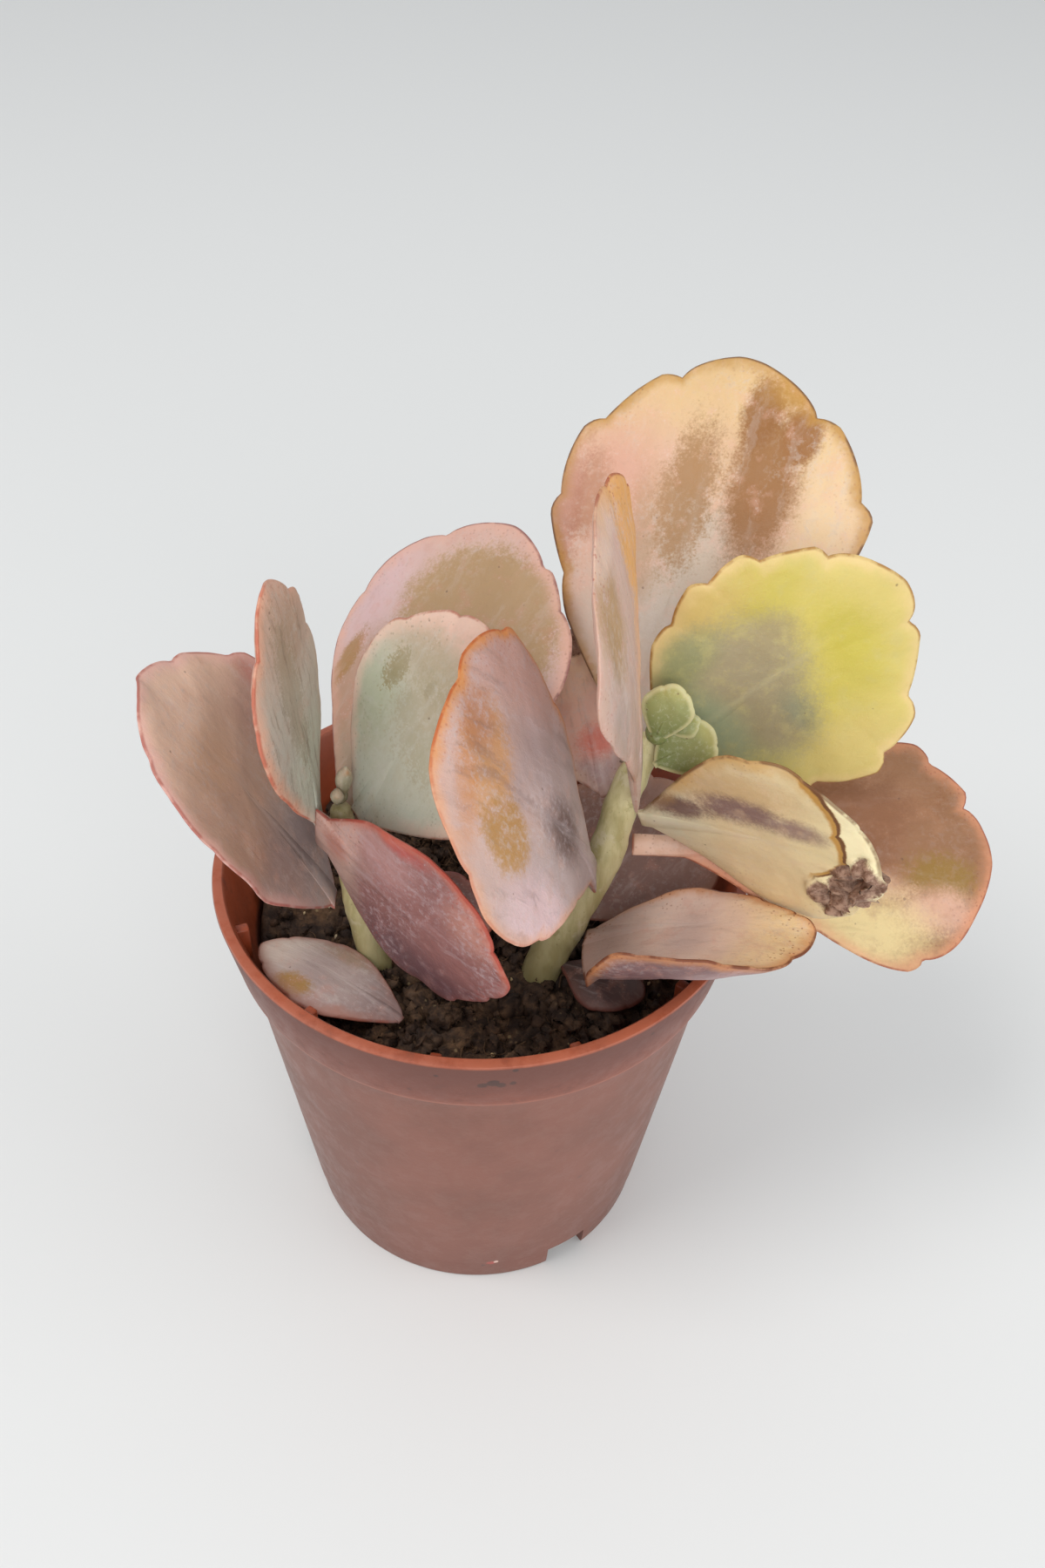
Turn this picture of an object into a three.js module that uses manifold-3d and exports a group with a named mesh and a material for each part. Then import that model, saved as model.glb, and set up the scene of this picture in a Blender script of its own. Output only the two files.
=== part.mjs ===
// A small potted succulent with scalloped, waxy leaves on two short stems, in a round plastic nursery pot.
// Millimetres, +Z up. The origin is the centre of the pot's flat underside, and the plant's front faces -Y.
import * as THREE from "three";
import { mergeVertices } from "three/addons/utils/BufferGeometryUtils.js";
import Module from "manifold-3d";

const wasm = await Module();
wasm.setup();

// ---- Driving dimensions ----

const GAP = 0.35; // clear space between pieces that touch on the real plant

const POT = {
  height: 49,
  rimRadius: 27.5,
  lipWidth: 1.2,
  collarFoot: 41.4, // height of the collar's lower edge
  collarFootRadius: 26.2,
  bodyTopRadius: 25.1,
  baseRadius: 19.7,
  wall: 1.2,
  floor: 1.5,
  footHeight: 3.4, // of the faint step above the base
  footStep: 0.25,
};
const DRAIN = { count: 3, first: -58, width: 5, height: 3.2, depth: 3 };
const RIB = { count: 12, first: -9, width: 1.4, depth: 1.4, foot: 42, top: 47.2 }; // inside the collar

const SOIL_LEVEL = 41;
const SOIL_LUMP = 0.45; // half the height of its lumps
const SOIL_BEVEL = 2.5; // around the foot of the soil
const HOLE_CLEARANCE = 1;

// Each stem is a smooth curve through points chosen from its foot in the soil to its tip.
const STEMS = {
  left: {
    points: [[-10.2, -8.8, 36.5], [-10.6, -8.4, 41], [-12, -7, 48], [-13.2, -5.7, 56], [-13.5, -5.2, 59.6]],
    radii: [1.6, 1.6, 1.45, 1.25, 0.95],
  },
  right: {
    points: [[5.8, -8.9, 36.5], [6.4, -8.6, 41], [9, -7, 47], [12, -6, 54.3], [13.8, -4.5, 62], [16, -3, 67]],
    radii: [2, 2, 1.95, 1.75, 1.5, 1.2],
  },
};
const NODE_SWELL = 0.22; // how far a stem swells where leaves leave it
const NODE_SPREAD = 0.9;

// How every leaf is drawn.
const CENTRE = 0.56; // the blade's middle, as a share of its length
const ROUNDNESS = 0.62;
const TIP = 0.05; // share of the length over which the tip narrows
const CUP_START = 0.45; // share of the length over which the cup grows from flat
const SCALLOP = 0.06; // depth of the notches, as a share of the distance from the middle
const SCALLOP_RISE = 0.22; // share of a scallop over which it stands up from its notch
const EDGE_FULLNESS = 0.6; // below 1, a blade keeps its thickness further towards its margin
const STALK = 0.05; // half the stalk's width, as a share of the leaf's width
const BASE_LOBE = 45; // turn that the last lobe on each side takes
const LEAF_THICKNESS = 2;
const STALK_GAP = 0.85; // from the stem's swollen node to the middle of the stalk's end

// Each leaf: the stem it grows from, the height of its stalk there and the bearing of that side of the stem.
// heading and rise give the straight line from stalk to tip, roll turns the blade about it, and curl, cup
// and twist bend the blade, all in degrees. lean widens the right half and narrows the left by that share.
// The notches between the scallops are turns from the tip, left and right. teeth, cupStart and stalk, where
// given, are the leaf's own SCALLOP, CUP_START and STALK. stand sets a stalk that meets the stem edge-on a
// little further off. A fallen leaf, or one whose broad foot passes in front of its stem, gives the point
// where its stalk lies.
const LEAVES = {
  leaf_right_back: {
    stem: "right", height: 63.2, bearing: 80, heading: 69, rise: 49, roll: 3, length: 38.6, width: 29,
    widest: 0.63, lean: 0.07, curl: -10, cup: 16, twist: 0, teeth: 0.085,
    left: [24, 51, 78, 100], right: [35, 64, 88], colour: 0xdcb79b,
  },
  leaf_right_yellow: {
    stem: "right", height: 65.9, bearing: 22, heading: 7, rise: 41, roll: -82, length: 24.9, width: 26,
    widest: 0.52, lean: 0.1, curl: 5, cup: 12, twist: 0, teeth: 0.12,
    left: [40, 67, 89, 112], right: [21, 52, 78, 110], colour: 0xd8cf8e,
  },
  leaf_right_upright: {
    stem: "right", height: 63, bearing: -83, heading: -135, rise: 75, roll: 53, length: 33.8, width: 24.5,
    widest: 0.75, lean: 0, curl: -8, cup: 6, twist: 0, stand: 0.35,
    left: [20, 45, 75, 105], right: [25, 50, 80, 105], colour: 0xb79a93,
  },
  leaf_centre_front: {
    stem: "right", height: 54.4, bearing: -110, heading: -136, rise: 52, roll: 53, length: 32.6, width: 27,
    widest: 0.72, lean: 0.12, curl: -30, cup: 9, twist: -5, stand: 0.25,
    left: [35, 82, 115], right: [28, 58, 90], colour: 0xb0938f,
  },
  leaf_right_folded: {
    stem: "right", height: 60.1, bearing: -35, heading: -33, rise: 12, roll: -108, length: 23.6, width: 22,
    widest: 0.59, lean: -0.05, curl: 30, cup: 16, twist: 4,
    left: [30, 60, 85], right: [40, 80], colour: 0xcbb583,
  },
  leaf_right_far: {
    stem: "right", height: 55.9, bearing: 0, heading: 0, rise: -3, roll: -37, length: 34, width: 21.4,
    widest: 0.75, lean: -0.02, curl: -3, cup: 10, twist: 0, teeth: 0.1,
    left: [24, 44, 85], right: [50, 88], colour: 0xb98f6f,
  },
  leaf_right_rim: {
    stem: "right", height: 46.4, bearing: -45, heading: -16, rise: 20, roll: -2, length: 22.3, width: 20.5,
    widest: 0.49, lean: 0.55, curl: -12, cup: 98, twist: 0, cupStart: 0.2,
    left: [30, 55, 80], right: [25, 60, 95], colour: 0xb08a80,
  },
  leaf_right_inner: {
    stem: "right", height: 45.4, bearing: 60, heading: 44, rise: 20, roll: -22, length: 18, width: 18,
    widest: 0.56, lean: 0, curl: 10, cup: 20, twist: 0,
    left: [30, 55, 80], right: [30, 55, 80], colour: 0x8d726b,
  },
  leaf_centre_back: {
    stem: "right", height: 60, bearing: 115, heading: 108, rise: 37, roll: 25, length: 16.5, width: 14.5,
    widest: 0.58, lean: 0, curl: 5, cup: 15, twist: 0,
    left: [30, 60], right: [30, 60], colour: 0xc7a092,
  },
  leaf_left_outer: {
    stem: "left", height: 49.3, bearing: 180, heading: 174.8, rise: 58, roll: -6, length: 29.4, width: 25.6,
    widest: 0.54, lean: 0.16, curl: 2, cup: 34, twist: 6,
    left: [42, 81], right: [28, 55, 85], colour: 0xa98f86,
  },
  leaf_left_upright: {
    stem: "left", height: 58.6, bearing: -170, heading: -124, rise: 82, roll: 66, length: 27.8, width: 14.8,
    widest: 0.6, lean: -0.05, curl: 5, cup: 12, twist: 1, teeth: 0.08,
    left: [38, 68], right: [35, 68], colour: 0xa59a8a,
  },
  leaf_left_back: {
    stem: "left", height: 58.4, bearing: 85, heading: 48, rise: 41, roll: 4, length: 31, width: 27,
    widest: 0.58, lean: 0.05, curl: 6, cup: 0, twist: 0,
    left: [36, 76], right: [28, 46, 90], colour: 0xbb9c92,
  },
  leaf_left_green: {
    stem: "left", height: 59.9, bearing: -26, heading: 10, rise: 59, roll: -27, length: 23, width: 21.4,
    widest: 0.55, lean: 0.12, curl: 3, cup: 17, twist: 0,
    left: [25, 58, 87], right: [28, 55, 80], colour: 0x9fa38e,
  },
  leaf_left_front: {
    point: [-15.4, -7, 58.8], heading: -42.3, rise: -8.8, roll: 88, length: 24.1, width: 18.2,
    widest: 0.54, lean: -0.06, curl: -2, cup: -11, twist: 0, stalk: 0.13,
    left: [28, 52, 80], right: [30, 60], colour: 0x8f6f71,
  },
  leaf_left_low: {
    stem: "left", height: 48, bearing: -20, heading: 4, rise: -6, roll: -30, length: 11, width: 9,
    widest: 0.56, lean: 0, curl: 0, cup: 12, twist: 0,
    left: [30, 60], right: [30, 60], colour: 0x7d6361,
  },
  leaf_fallen_left: {
    point: [-7.9, -17, 43.1], heading: 150, rise: 5, roll: -7, length: 16, width: 9,
    widest: 0.52, lean: 0, curl: -7, cup: 6, twist: 2,
    left: [35, 75], right: [35, 75], colour: 0xa8958b,
  },
  leaf_fallen_right: {
    point: [8.7, -9.6, 42.5], heading: -30, rise: 2, roll: 0, length: 8.6, width: 7.5,
    widest: 0.56, lean: 0, curl: 0, cup: -8, twist: 0,
    left: [35, 75], right: [35, 75], colour: 0x8a716c,
  },
};

// The young leaves at each stem's tip, fused with the small bud that they grow from.
const BUDS = {
  bud_right: {
    core: { centre: [16.2, -4.3, 68.9], radius: 1.2 },
    colour: 0xa9b583,
    leaves: [
      { point: [15.9, -5.9, 66.2], heading: 8, rise: 36, roll: -55, length: 6.4, width: 6.4 },
      { point: [15.9, -5.2, 68.4], heading: 30, rise: 74, roll: -46, length: 6.2, width: 4.8 },
      { point: [17, -4.9, 69.3], heading: 5, rise: 25, roll: -50, length: 3.2, width: 2.6 },
    ],
  },
  bud_left: {
    core: { centre: [-13.5, -5, 61.2], radius: 0.8 },
    colour: 0xc9bfae,
    leaves: [
      { point: [-13.2, -5.2, 61], heading: 60, rise: 76, roll: -60, length: 3.4, width: 1.6 },
      { point: [-13.7, -5.5, 60.9], heading: -80, rise: 70, roll: 10, length: 2, width: 1.2 },
    ],
  },
};
const BUD_LEAF = { widest: 0.6, lean: 0, curl: 12, cup: 25, twist: 0, left: [30, 60], right: [30, 60] };
const BUD_LEAF_THICKNESS = 1.5;

const COLOURS = { pot: 0x9e5947, soil: 0x35261f, stem: 0xb5b587 };

// ---- Small helpers ----

const radians = THREE.MathUtils.degToRad;

function material(name, colour, roughness) {
  return new THREE.MeshStandardMaterial({ name, color: colour, roughness, metalness: 0 });
}

function positionsOnly(geometry) {
  geometry.deleteAttribute("normal");
  geometry.deleteAttribute("uv");
  return mergeVertices(geometry);
}

function solidOf(geometry) {
  const closed = positionsOnly(geometry.clone());
  return new wasm.Manifold(new wasm.Mesh({
    numProp: 3,
    vertProperties: closed.attributes.position.array,
    triVerts: new Uint32Array(closed.index.array),
  }));
}

function geometryOf(solid) {
  const mesh = solid.getMesh();
  const geometry = new THREE.BufferGeometry();
  geometry.setAttribute("position", new THREE.BufferAttribute(mesh.vertProperties, 3));
  geometry.setIndex(new THREE.BufferAttribute(mesh.triVerts, 1));
  geometry.computeVertexNormals();
  return geometry;
}

// Moves every vertex of a geometry by a function from its old place to its new one.
function reshape(geometry, move) {
  const shaped = positionsOnly(geometry);
  const place = shaped.attributes.position;
  const point = new THREE.Vector3();
  for (let i = 0; i < place.count; i++) {
    point.fromBufferAttribute(place, i);
    const moved = move(point);
    place.setXYZ(i, moved.x, moved.y, moved.z);
  }
  shaped.computeVertexNormals();
  return shaped;
}

function lathe(profile, segments) {
  const points = profile.map(([radius, height]) => new THREE.Vector2(radius, height));
  const geometry = new THREE.LatheGeometry(points, segments);
  geometry.rotateX(Math.PI / 2);
  return geometry;
}

function boxAt(width, depth, height, radius, bearing, foot) {
  const box = new THREE.BoxGeometry(depth, width, height);
  box.translate(radius, 0, foot + height / 2);
  box.rotateZ(radians(bearing));
  return box;
}

// ---- Pot ----

function innerRadius(height) {
  const slope = (POT.bodyTopRadius - POT.baseRadius) / POT.collarFoot;
  return POT.baseRadius + slope * height - POT.wall;
}

function potGeometry() {
  const { height, rimRadius, lipWidth, collarFoot, collarFootRadius } = POT;
  const { wall, floor, footHeight, footStep } = POT;
  const rimRound = 0.4;
  const footRound = 0.5;
  const collarRound = 0.5;
  const shoulder = 2.2; // height over which the inner wall steps out into the collar
  const beyond = 1; // how far each drain's cutter stands out of the pot
  const profile = [
    [0, 0],
    [POT.baseRadius - footRound, 0],
    [POT.baseRadius, footRound],
    [POT.baseRadius + footStep, footHeight],
    [POT.baseRadius + 2 * footStep, footHeight + footStep],
    [POT.bodyTopRadius, collarFoot - collarRound],
    [collarFootRadius - collarRound, collarFoot],
    [collarFootRadius, collarFoot + collarRound],
    [rimRadius, height - rimRound],
    [rimRadius - rimRound, height],
    [rimRadius - lipWidth + rimRound / 2, height],
    [rimRadius - lipWidth, height - rimRound / 2],
    [collarFootRadius - wall, collarFoot + shoulder],
    [innerRadius(collarFoot - 1), collarFoot - 1],
    [innerRadius(floor + footRound), floor + footRound],
    [innerRadius(floor) - footRound, floor],
    [0, floor],
  ];
  let pot = solidOf(lathe(profile, 72));
  for (let i = 0; i < RIB.count; i++) {
    const bearing = RIB.first + (i * 360) / RIB.count;
    const radius = collarFootRadius - wall + RIB.depth / 4;
    pot = pot.add(solidOf(boxAt(RIB.width, RIB.depth, RIB.top - RIB.foot, radius, bearing, RIB.foot)));
  }
  for (let i = 0; i < DRAIN.count; i++) {
    const bearing = DRAIN.first + (i * 360) / DRAIN.count;
    const radius = POT.baseRadius - (DRAIN.depth - beyond) / 2;
    const cutter = boxAt(DRAIN.width, DRAIN.depth + beyond, DRAIN.height + beyond, radius, bearing, -beyond);
    pot = pot.subtract(solidOf(cutter));
  }
  return geometryOf(pot);
}

// ---- Soil ----

function soilHeight(x, y) {
  const broad = Math.sin(0.55 * x + 1) * Math.cos(0.5 * y - 0.6);
  const fine = Math.sin(1.3 * x - 0.8 * y) * Math.cos(1.1 * y + 0.5 * x);
  return SOIL_LEVEL + SOIL_LUMP * (0.6 * broad + 0.4 * fine);
}

function stemHole(stem) {
  const [x, y, foot] = stem.points[0];
  const [topX, topY] = stem.points[1];
  const depth = 2 * (SOIL_LEVEL - foot);
  const radius = stem.radii[0] + HOLE_CLEARANCE;
  const hole = new THREE.CylinderGeometry(radius, radius, depth, 24);
  hole.rotateX(Math.PI / 2);
  hole.translate((x + topX) / 2, (y + topY) / 2, foot - 2 * GAP + depth / 2);
  return solidOf(hole);
}

function soilGeometry() {
  const edge = innerRadius(SOIL_LEVEL - 1) - GAP;
  const rings = [20.5, 17, 13.5, 10, 6.5, 3];
  const bottom = POT.floor + GAP;
  const bed = lathe([
    [0, bottom],
    [innerRadius(bottom) - GAP - SOIL_BEVEL, bottom],
    [innerRadius(bottom + SOIL_BEVEL) - GAP, bottom + SOIL_BEVEL],
    [edge, SOIL_LEVEL - 1],
    ...rings.map((radius) => [radius, SOIL_LEVEL]),
    [0, SOIL_LEVEL],
  ], 48);
  const lumpy = reshape(bed, (point) => {
    const z = point.z > SOIL_LEVEL - 0.5 ? soilHeight(point.x, point.y) : point.z;
    return new THREE.Vector3(point.x, point.y, z);
  });
  let soil = solidOf(lumpy);
  for (const stem of Object.values(STEMS)) soil = soil.subtract(stemHole(stem));
  return geometryOf(soil);
}

// ---- Stems ----

function stemCurve(stem) {
  const points = stem.points.map((point) => new THREE.Vector3(...point));
  return new THREE.CatmullRomCurve3(points, false, "centripetal");
}

// The centre and radius of a stem at a height, found along its curve.
function stemAt(stem, height) {
  const samples = 400;
  const curve = stemCurve(stem);
  const missAt = (t) => Math.abs(curve.getPoint(t).z - height);
  let best = 0;
  for (let i = 1; i <= samples; i++) {
    if (missAt(i / samples) < missAt(best)) best = i / samples;
  }
  return { centre: curve.getPoint(best), radius: stemRadius(stem, best) };
}

function stemRadius(stem, t) {
  const span = t * (stem.radii.length - 1);
  const index = Math.min(Math.floor(span), stem.radii.length - 2);
  return THREE.MathUtils.lerp(stem.radii[index], stem.radii[index + 1], span - index);
}

function stemGeometry(name) {
  const stem = STEMS[name];
  const curve = stemCurve(stem);
  const nodes = Object.values(LEAVES).filter((leaf) => leaf.stem === name).map((leaf) => leaf.height);
  const side = new THREE.Vector3(1, 0, 0);
  return reshape(new THREE.CylinderGeometry(1, 1, 1, 14, 30), (point) => {
    const t = point.y + 0.5;
    const centre = curve.getPoint(t);
    const along = curve.getTangent(t);
    const across = side.clone().addScaledVector(along, -side.dot(along)).normalize();
    const up = new THREE.Vector3().crossVectors(along, across);
    const nearest = Math.min(...nodes.map((height) => Math.abs(height - centre.z)));
    const radius = stemRadius(stem, t) + NODE_SWELL * Math.exp(-((nearest / NODE_SPREAD) ** 2));
    return centre.addScaledVector(across, point.z * radius).addScaledVector(up, point.x * radius);
  });
}

// ---- Leaves ----

// How far the margin is pushed out at a turn from the tip, so that scallops stand between the notches.
function scallop(turn, notches, depth) {
  const edges = [0, ...notches, notches.at(-1) + BASE_LOBE];
  const i = edges.findLastIndex((edge) => turn >= edge);
  if (i > edges.length - 2) return 0;
  const u = (turn - edges[i]) / (edges[i + 1] - edges[i]);
  if (i === 0) return depth * (1 - u ** 4) ** 0.7;
  return depth * Math.min(1, u / SCALLOP_RISE) ** 0.6 * (1 - u) ** 0.9;
}

// The margin at a turn from the tip, positive to the right: how far out from the midrib and along it.
function leafMargin(leaf, turn) {
  const away = Math.abs(turn);
  const share = (1 + Math.cos(radians(away))) / 2;
  const bulge = Math.sin(Math.PI * share ** (Math.log(0.5) / Math.log(leaf.widest)));
  const side = Math.sign(turn) || 1;
  const push = 1 + scallop(away, side > 0 ? leaf.right : leaf.left, leaf.teeth ?? SCALLOP);
  const half = (leaf.width / 2) * Math.max(bulge, 0) ** ROUNDNESS * (1 + side * leaf.lean) * push;
  const stalk = away > 179.9 ? 0 : (leaf.stalk ?? STALK) * leaf.width * Math.min(1, (1 - share) / TIP);
  const middle = CENTRE * leaf.length;
  return { out: side * Math.max(half, stalk), along: middle + (leaf.length * share - middle) * push };
}

// Bends a straight length into an arc of the given turn; lift is the distance off the arc.
function bend(distance, span, turn, start, lift) {
  if (Math.abs(turn) < 1e-4) return [distance - start * span, lift];
  const radius = span / turn;
  const angle = distance / radius - start * turn;
  return [(radius - lift) * Math.sin(angle), radius - (radius - lift) * Math.cos(angle)];
}

// A function that carries a point of the flat leaf (out, along, lift) to its place in the plant.
function leafPlacer(leaf, base) {
  const heading = radians(leaf.heading);
  const rise = radians(leaf.rise);
  const roll = radians(leaf.roll);
  const midrib = new THREE.Vector3(
    Math.cos(rise) * Math.cos(heading),
    Math.cos(rise) * Math.sin(heading),
    Math.sin(rise),
  );
  const level = new THREE.Vector3(Math.sin(heading), -Math.cos(heading), 0);
  const upright = new THREE.Vector3().crossVectors(level, midrib);
  const right = level.clone().multiplyScalar(Math.cos(roll)).addScaledVector(upright, Math.sin(roll));
  const face = upright.clone().multiplyScalar(Math.cos(roll)).addScaledVector(level, -Math.sin(roll));
  const curl = radians(leaf.curl);
  const cup = radians(leaf.cup);
  const twist = radians(leaf.twist);
  const [footAlong, footLift] = bend(0, leaf.length, curl, 0.5, 0);
  return (out, along, lift) => {
    const share = along / leaf.length;
    const cupped = cup * THREE.MathUtils.smoothstep(share, 0, leaf.cupStart ?? CUP_START);
    const [x, z] = bend(out, leaf.width, cupped, 0, lift);
    const turned = twist * share;
    const across = x * Math.cos(turned) - z * Math.sin(turned);
    const above = x * Math.sin(turned) + z * Math.cos(turned);
    const [forward, raised] = bend(along, leaf.length, curl, 0.5, above);
    return base.clone()
      .addScaledVector(midrib, forward - footAlong)
      .addScaledVector(right, across)
      .addScaledVector(face, raised - footLift);
  };
}

function leafBase(leaf) {
  if (leaf.point) return new THREE.Vector3(...leaf.point);
  const { centre, radius } = stemAt(STEMS[leaf.stem], leaf.height);
  const bearing = radians(leaf.bearing);
  const reach = radius + NODE_SWELL + STALK_GAP + (leaf.stand ?? 0);
  return centre.add(new THREE.Vector3(Math.cos(bearing) * reach, Math.sin(bearing) * reach, 0));
}

// A leaf is a sphere pressed flat: its equator is the margin and its poles the middles of the two faces.
function leafGeometry(leaf, around, thickness) {
  const rings = 6;
  const place = leafPlacer(leaf, leafBase(leaf));
  const middle = CENTRE * leaf.length;
  return reshape(new THREE.SphereGeometry(1, around, rings), (point) => {
    const flat = Math.hypot(point.x, point.z);
    const spread = flat < 1e-6 ? 0 : Math.min(1, flat) ** EDGE_FULLNESS;
    const turn = flat < 1e-6 ? 0 : THREE.MathUtils.radToDeg(Math.atan2(point.z, point.x));
    const margin = leafMargin(leaf, turn);
    return place(margin.out * spread, middle + (margin.along - middle) * spread, (thickness / 2) * point.y);
  });
}

function budGeometry(bud) {
  const core = new THREE.SphereGeometry(bud.core.radius, 12, 8);
  core.translate(...bud.core.centre);
  let solid = solidOf(core);
  for (const leaf of bud.leaves) {
    solid = solid.add(solidOf(leafGeometry({ ...BUD_LEAF, ...leaf }, 20, BUD_LEAF_THICKNESS)));
  }
  return geometryOf(solid);
}

// ---- The plant in its pot ----

function piece(name, geometry, look) {
  const mesh = new THREE.Mesh(geometry, look);
  mesh.name = name;
  return mesh;
}

function facetsAround(leaf) {
  return leaf.length > 20 ? 64 : 32;
}

const plant = new THREE.Group();
plant.name = "potted_kalanchoe";

const holder = new THREE.Group();
holder.add(piece("pot", potGeometry(), material("pot", COLOURS.pot, 0.5)));
holder.add(piece("soil", soilGeometry(), material("soil", COLOURS.soil, 0.95)));
plant.add(holder);

for (const name of Object.keys(STEMS)) {
  plant.add(piece(`stem_${name}`, stemGeometry(name), material(`stem_${name}`, COLOURS.stem, 0.6)));
}

for (const [name, leaf] of Object.entries(LEAVES)) {
  const blade = leafGeometry(leaf, facetsAround(leaf), LEAF_THICKNESS);
  plant.add(piece(name, blade, material(name, leaf.colour, 0.55)));
}

for (const [name, bud] of Object.entries(BUDS)) {
  plant.add(piece(name, budGeometry(bud), material(name, bud.colour, 0.55)));
}

export default plant;
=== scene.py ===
"""A small potted kalanchoe: scalloped waxy leaves on two short stems, in peat, in a round nursery pot."""

import math
import random

import bmesh
import bpy
from mathutils import Euler, Matrix, Vector, noise


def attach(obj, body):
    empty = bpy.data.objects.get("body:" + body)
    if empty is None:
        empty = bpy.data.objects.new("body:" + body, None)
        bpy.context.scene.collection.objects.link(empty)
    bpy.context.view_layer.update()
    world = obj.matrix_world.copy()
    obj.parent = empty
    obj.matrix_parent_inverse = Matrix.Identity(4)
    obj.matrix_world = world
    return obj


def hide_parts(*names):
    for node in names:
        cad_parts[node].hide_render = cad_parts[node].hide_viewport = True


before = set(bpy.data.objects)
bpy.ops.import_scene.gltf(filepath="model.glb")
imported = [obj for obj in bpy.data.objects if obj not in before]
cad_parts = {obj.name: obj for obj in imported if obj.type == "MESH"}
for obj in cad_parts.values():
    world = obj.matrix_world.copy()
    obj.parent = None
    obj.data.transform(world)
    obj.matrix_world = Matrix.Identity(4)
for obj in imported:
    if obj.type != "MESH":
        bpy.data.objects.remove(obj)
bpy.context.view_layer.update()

MM = 0.001
MERGE = 1e-7  # metres: vertices nearer than this become one
rng = random.Random(7)
noise.seed_set(7)  # unseeded, noise_vector takes its offsets from the clock

# ---- Sizes of the pot and the soil, in millimetres and degrees ----

POT_HEIGHT = 49
RIM_RADIUS = 27.5
LIP_WIDTH = 1.2
COLLAR_FOOT = 41.4
COLLAR_FOOT_RADIUS = 26.2
BODY_TOP_RADIUS = 25.1
BASE_RADIUS = 19.7
WALL = 1.2
FLOOR = 1.5
FOOT_HEIGHT = 3.4
FOOT_STEP = 0.25
LIP_ROUND, FOOT_ROUND, COLLAR_ROUND, RIB_ROUND = 0.4, 0.5, 0.5, 0.2
DRAINS = {"count": 3, "first": -58, "width": 5, "height": 3.2, "depth": 3}
RIBS = {"count": 12, "first": -9, "width": 1.1, "depth": 1.4, "foot": 42, "top": 47.2}
POT_SEGMENTS, WALL_STEPS = 240, 12
SHARP_ANGLE = 32
SOIL_LEVEL = 41
SOIL_SEGMENTS, SOIL_RINGS = 280, 100

# ---- Stems: points from the foot to the tip, the radius at each, and the heights of the thick nodes ----

STEMS = {
    "stem_left": {
        "points": [(-10.2, -8.8, 36.5), (-10.6, -8.4, 41), (-12, -7, 48), (-13.2, -5.7, 56),
                   (-13.5, -5.2, 59.6)],
        "radii": [1.6, 1.6, 1.45, 1.25, 0.95],
        "nodes": [48, 49.3, 58.4, 58.6, 59.9],
    },
    "stem_right": {
        "points": [(5.8, -8.9, 36.5), (6.4, -8.6, 41), (9, -7, 47), (12, -6, 54.3), (13.8, -4.5, 62),
                   (16, -3, 67)],
        "radii": [2, 2, 1.95, 1.75, 1.5, 1.2],
        "nodes": [45.4, 46.4, 54.4, 55.9, 60, 60.1, 63, 63.2, 65.9],
    },
}
NODE_SWELL = 0.12
NODE_SPREAD = 0.9
STEM_STEPS, STEM_SEGMENTS = 90, 40
STEM_BUMPS = 0.05
TUBE_END = ((0.4, 0.75), (0.6, 0))  # the rounded end's rings: how far out and how wide, in radii

# ---- Leaves ----

CENTRE = 0.56  # the outline spreads from this share of the length
ROUNDNESS = 0.62  # below 1, the outline's two ends are blunter
TIP = 0.05
STALK = 0.05  # the stalk's half width, as a share of the leaf's width
CUP_START = 0.45
SCALLOP = 0.06
SCALLOP_RISE = 0.22
BASE_LOBE = 45
FACE_SPREAD = 0.8  # below 1, the mesh is finer towards the margin
SECTION = 0.6  # below 1, the faces are flatter and the margin blunter
MIDRIB_WIDTH, MIDRIB_UPPER, MIDRIB_LOWER = 0.7, 0.07, 0.05
WAVE_HEIGHT = 0.6
SWELLS = ((0.2, 0.28), (0.05, 1.1))  # the flesh's unevenness: height in millimetres, fineness
CRUMPLE = 0.75  # how fine the folds of a dry place are
LEAF_MESH = dict(around=228, rings=44, thickness=2.0, reach=0.5)
BUD_MESH = dict(around=90, rings=30, thickness=1.5, reach=0)
PLAIN_LEAF = dict(lean=0, twist=0, cup_start=CUP_START, teeth=SCALLOP, stalk=STALK, wave=0, dry=())

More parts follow.
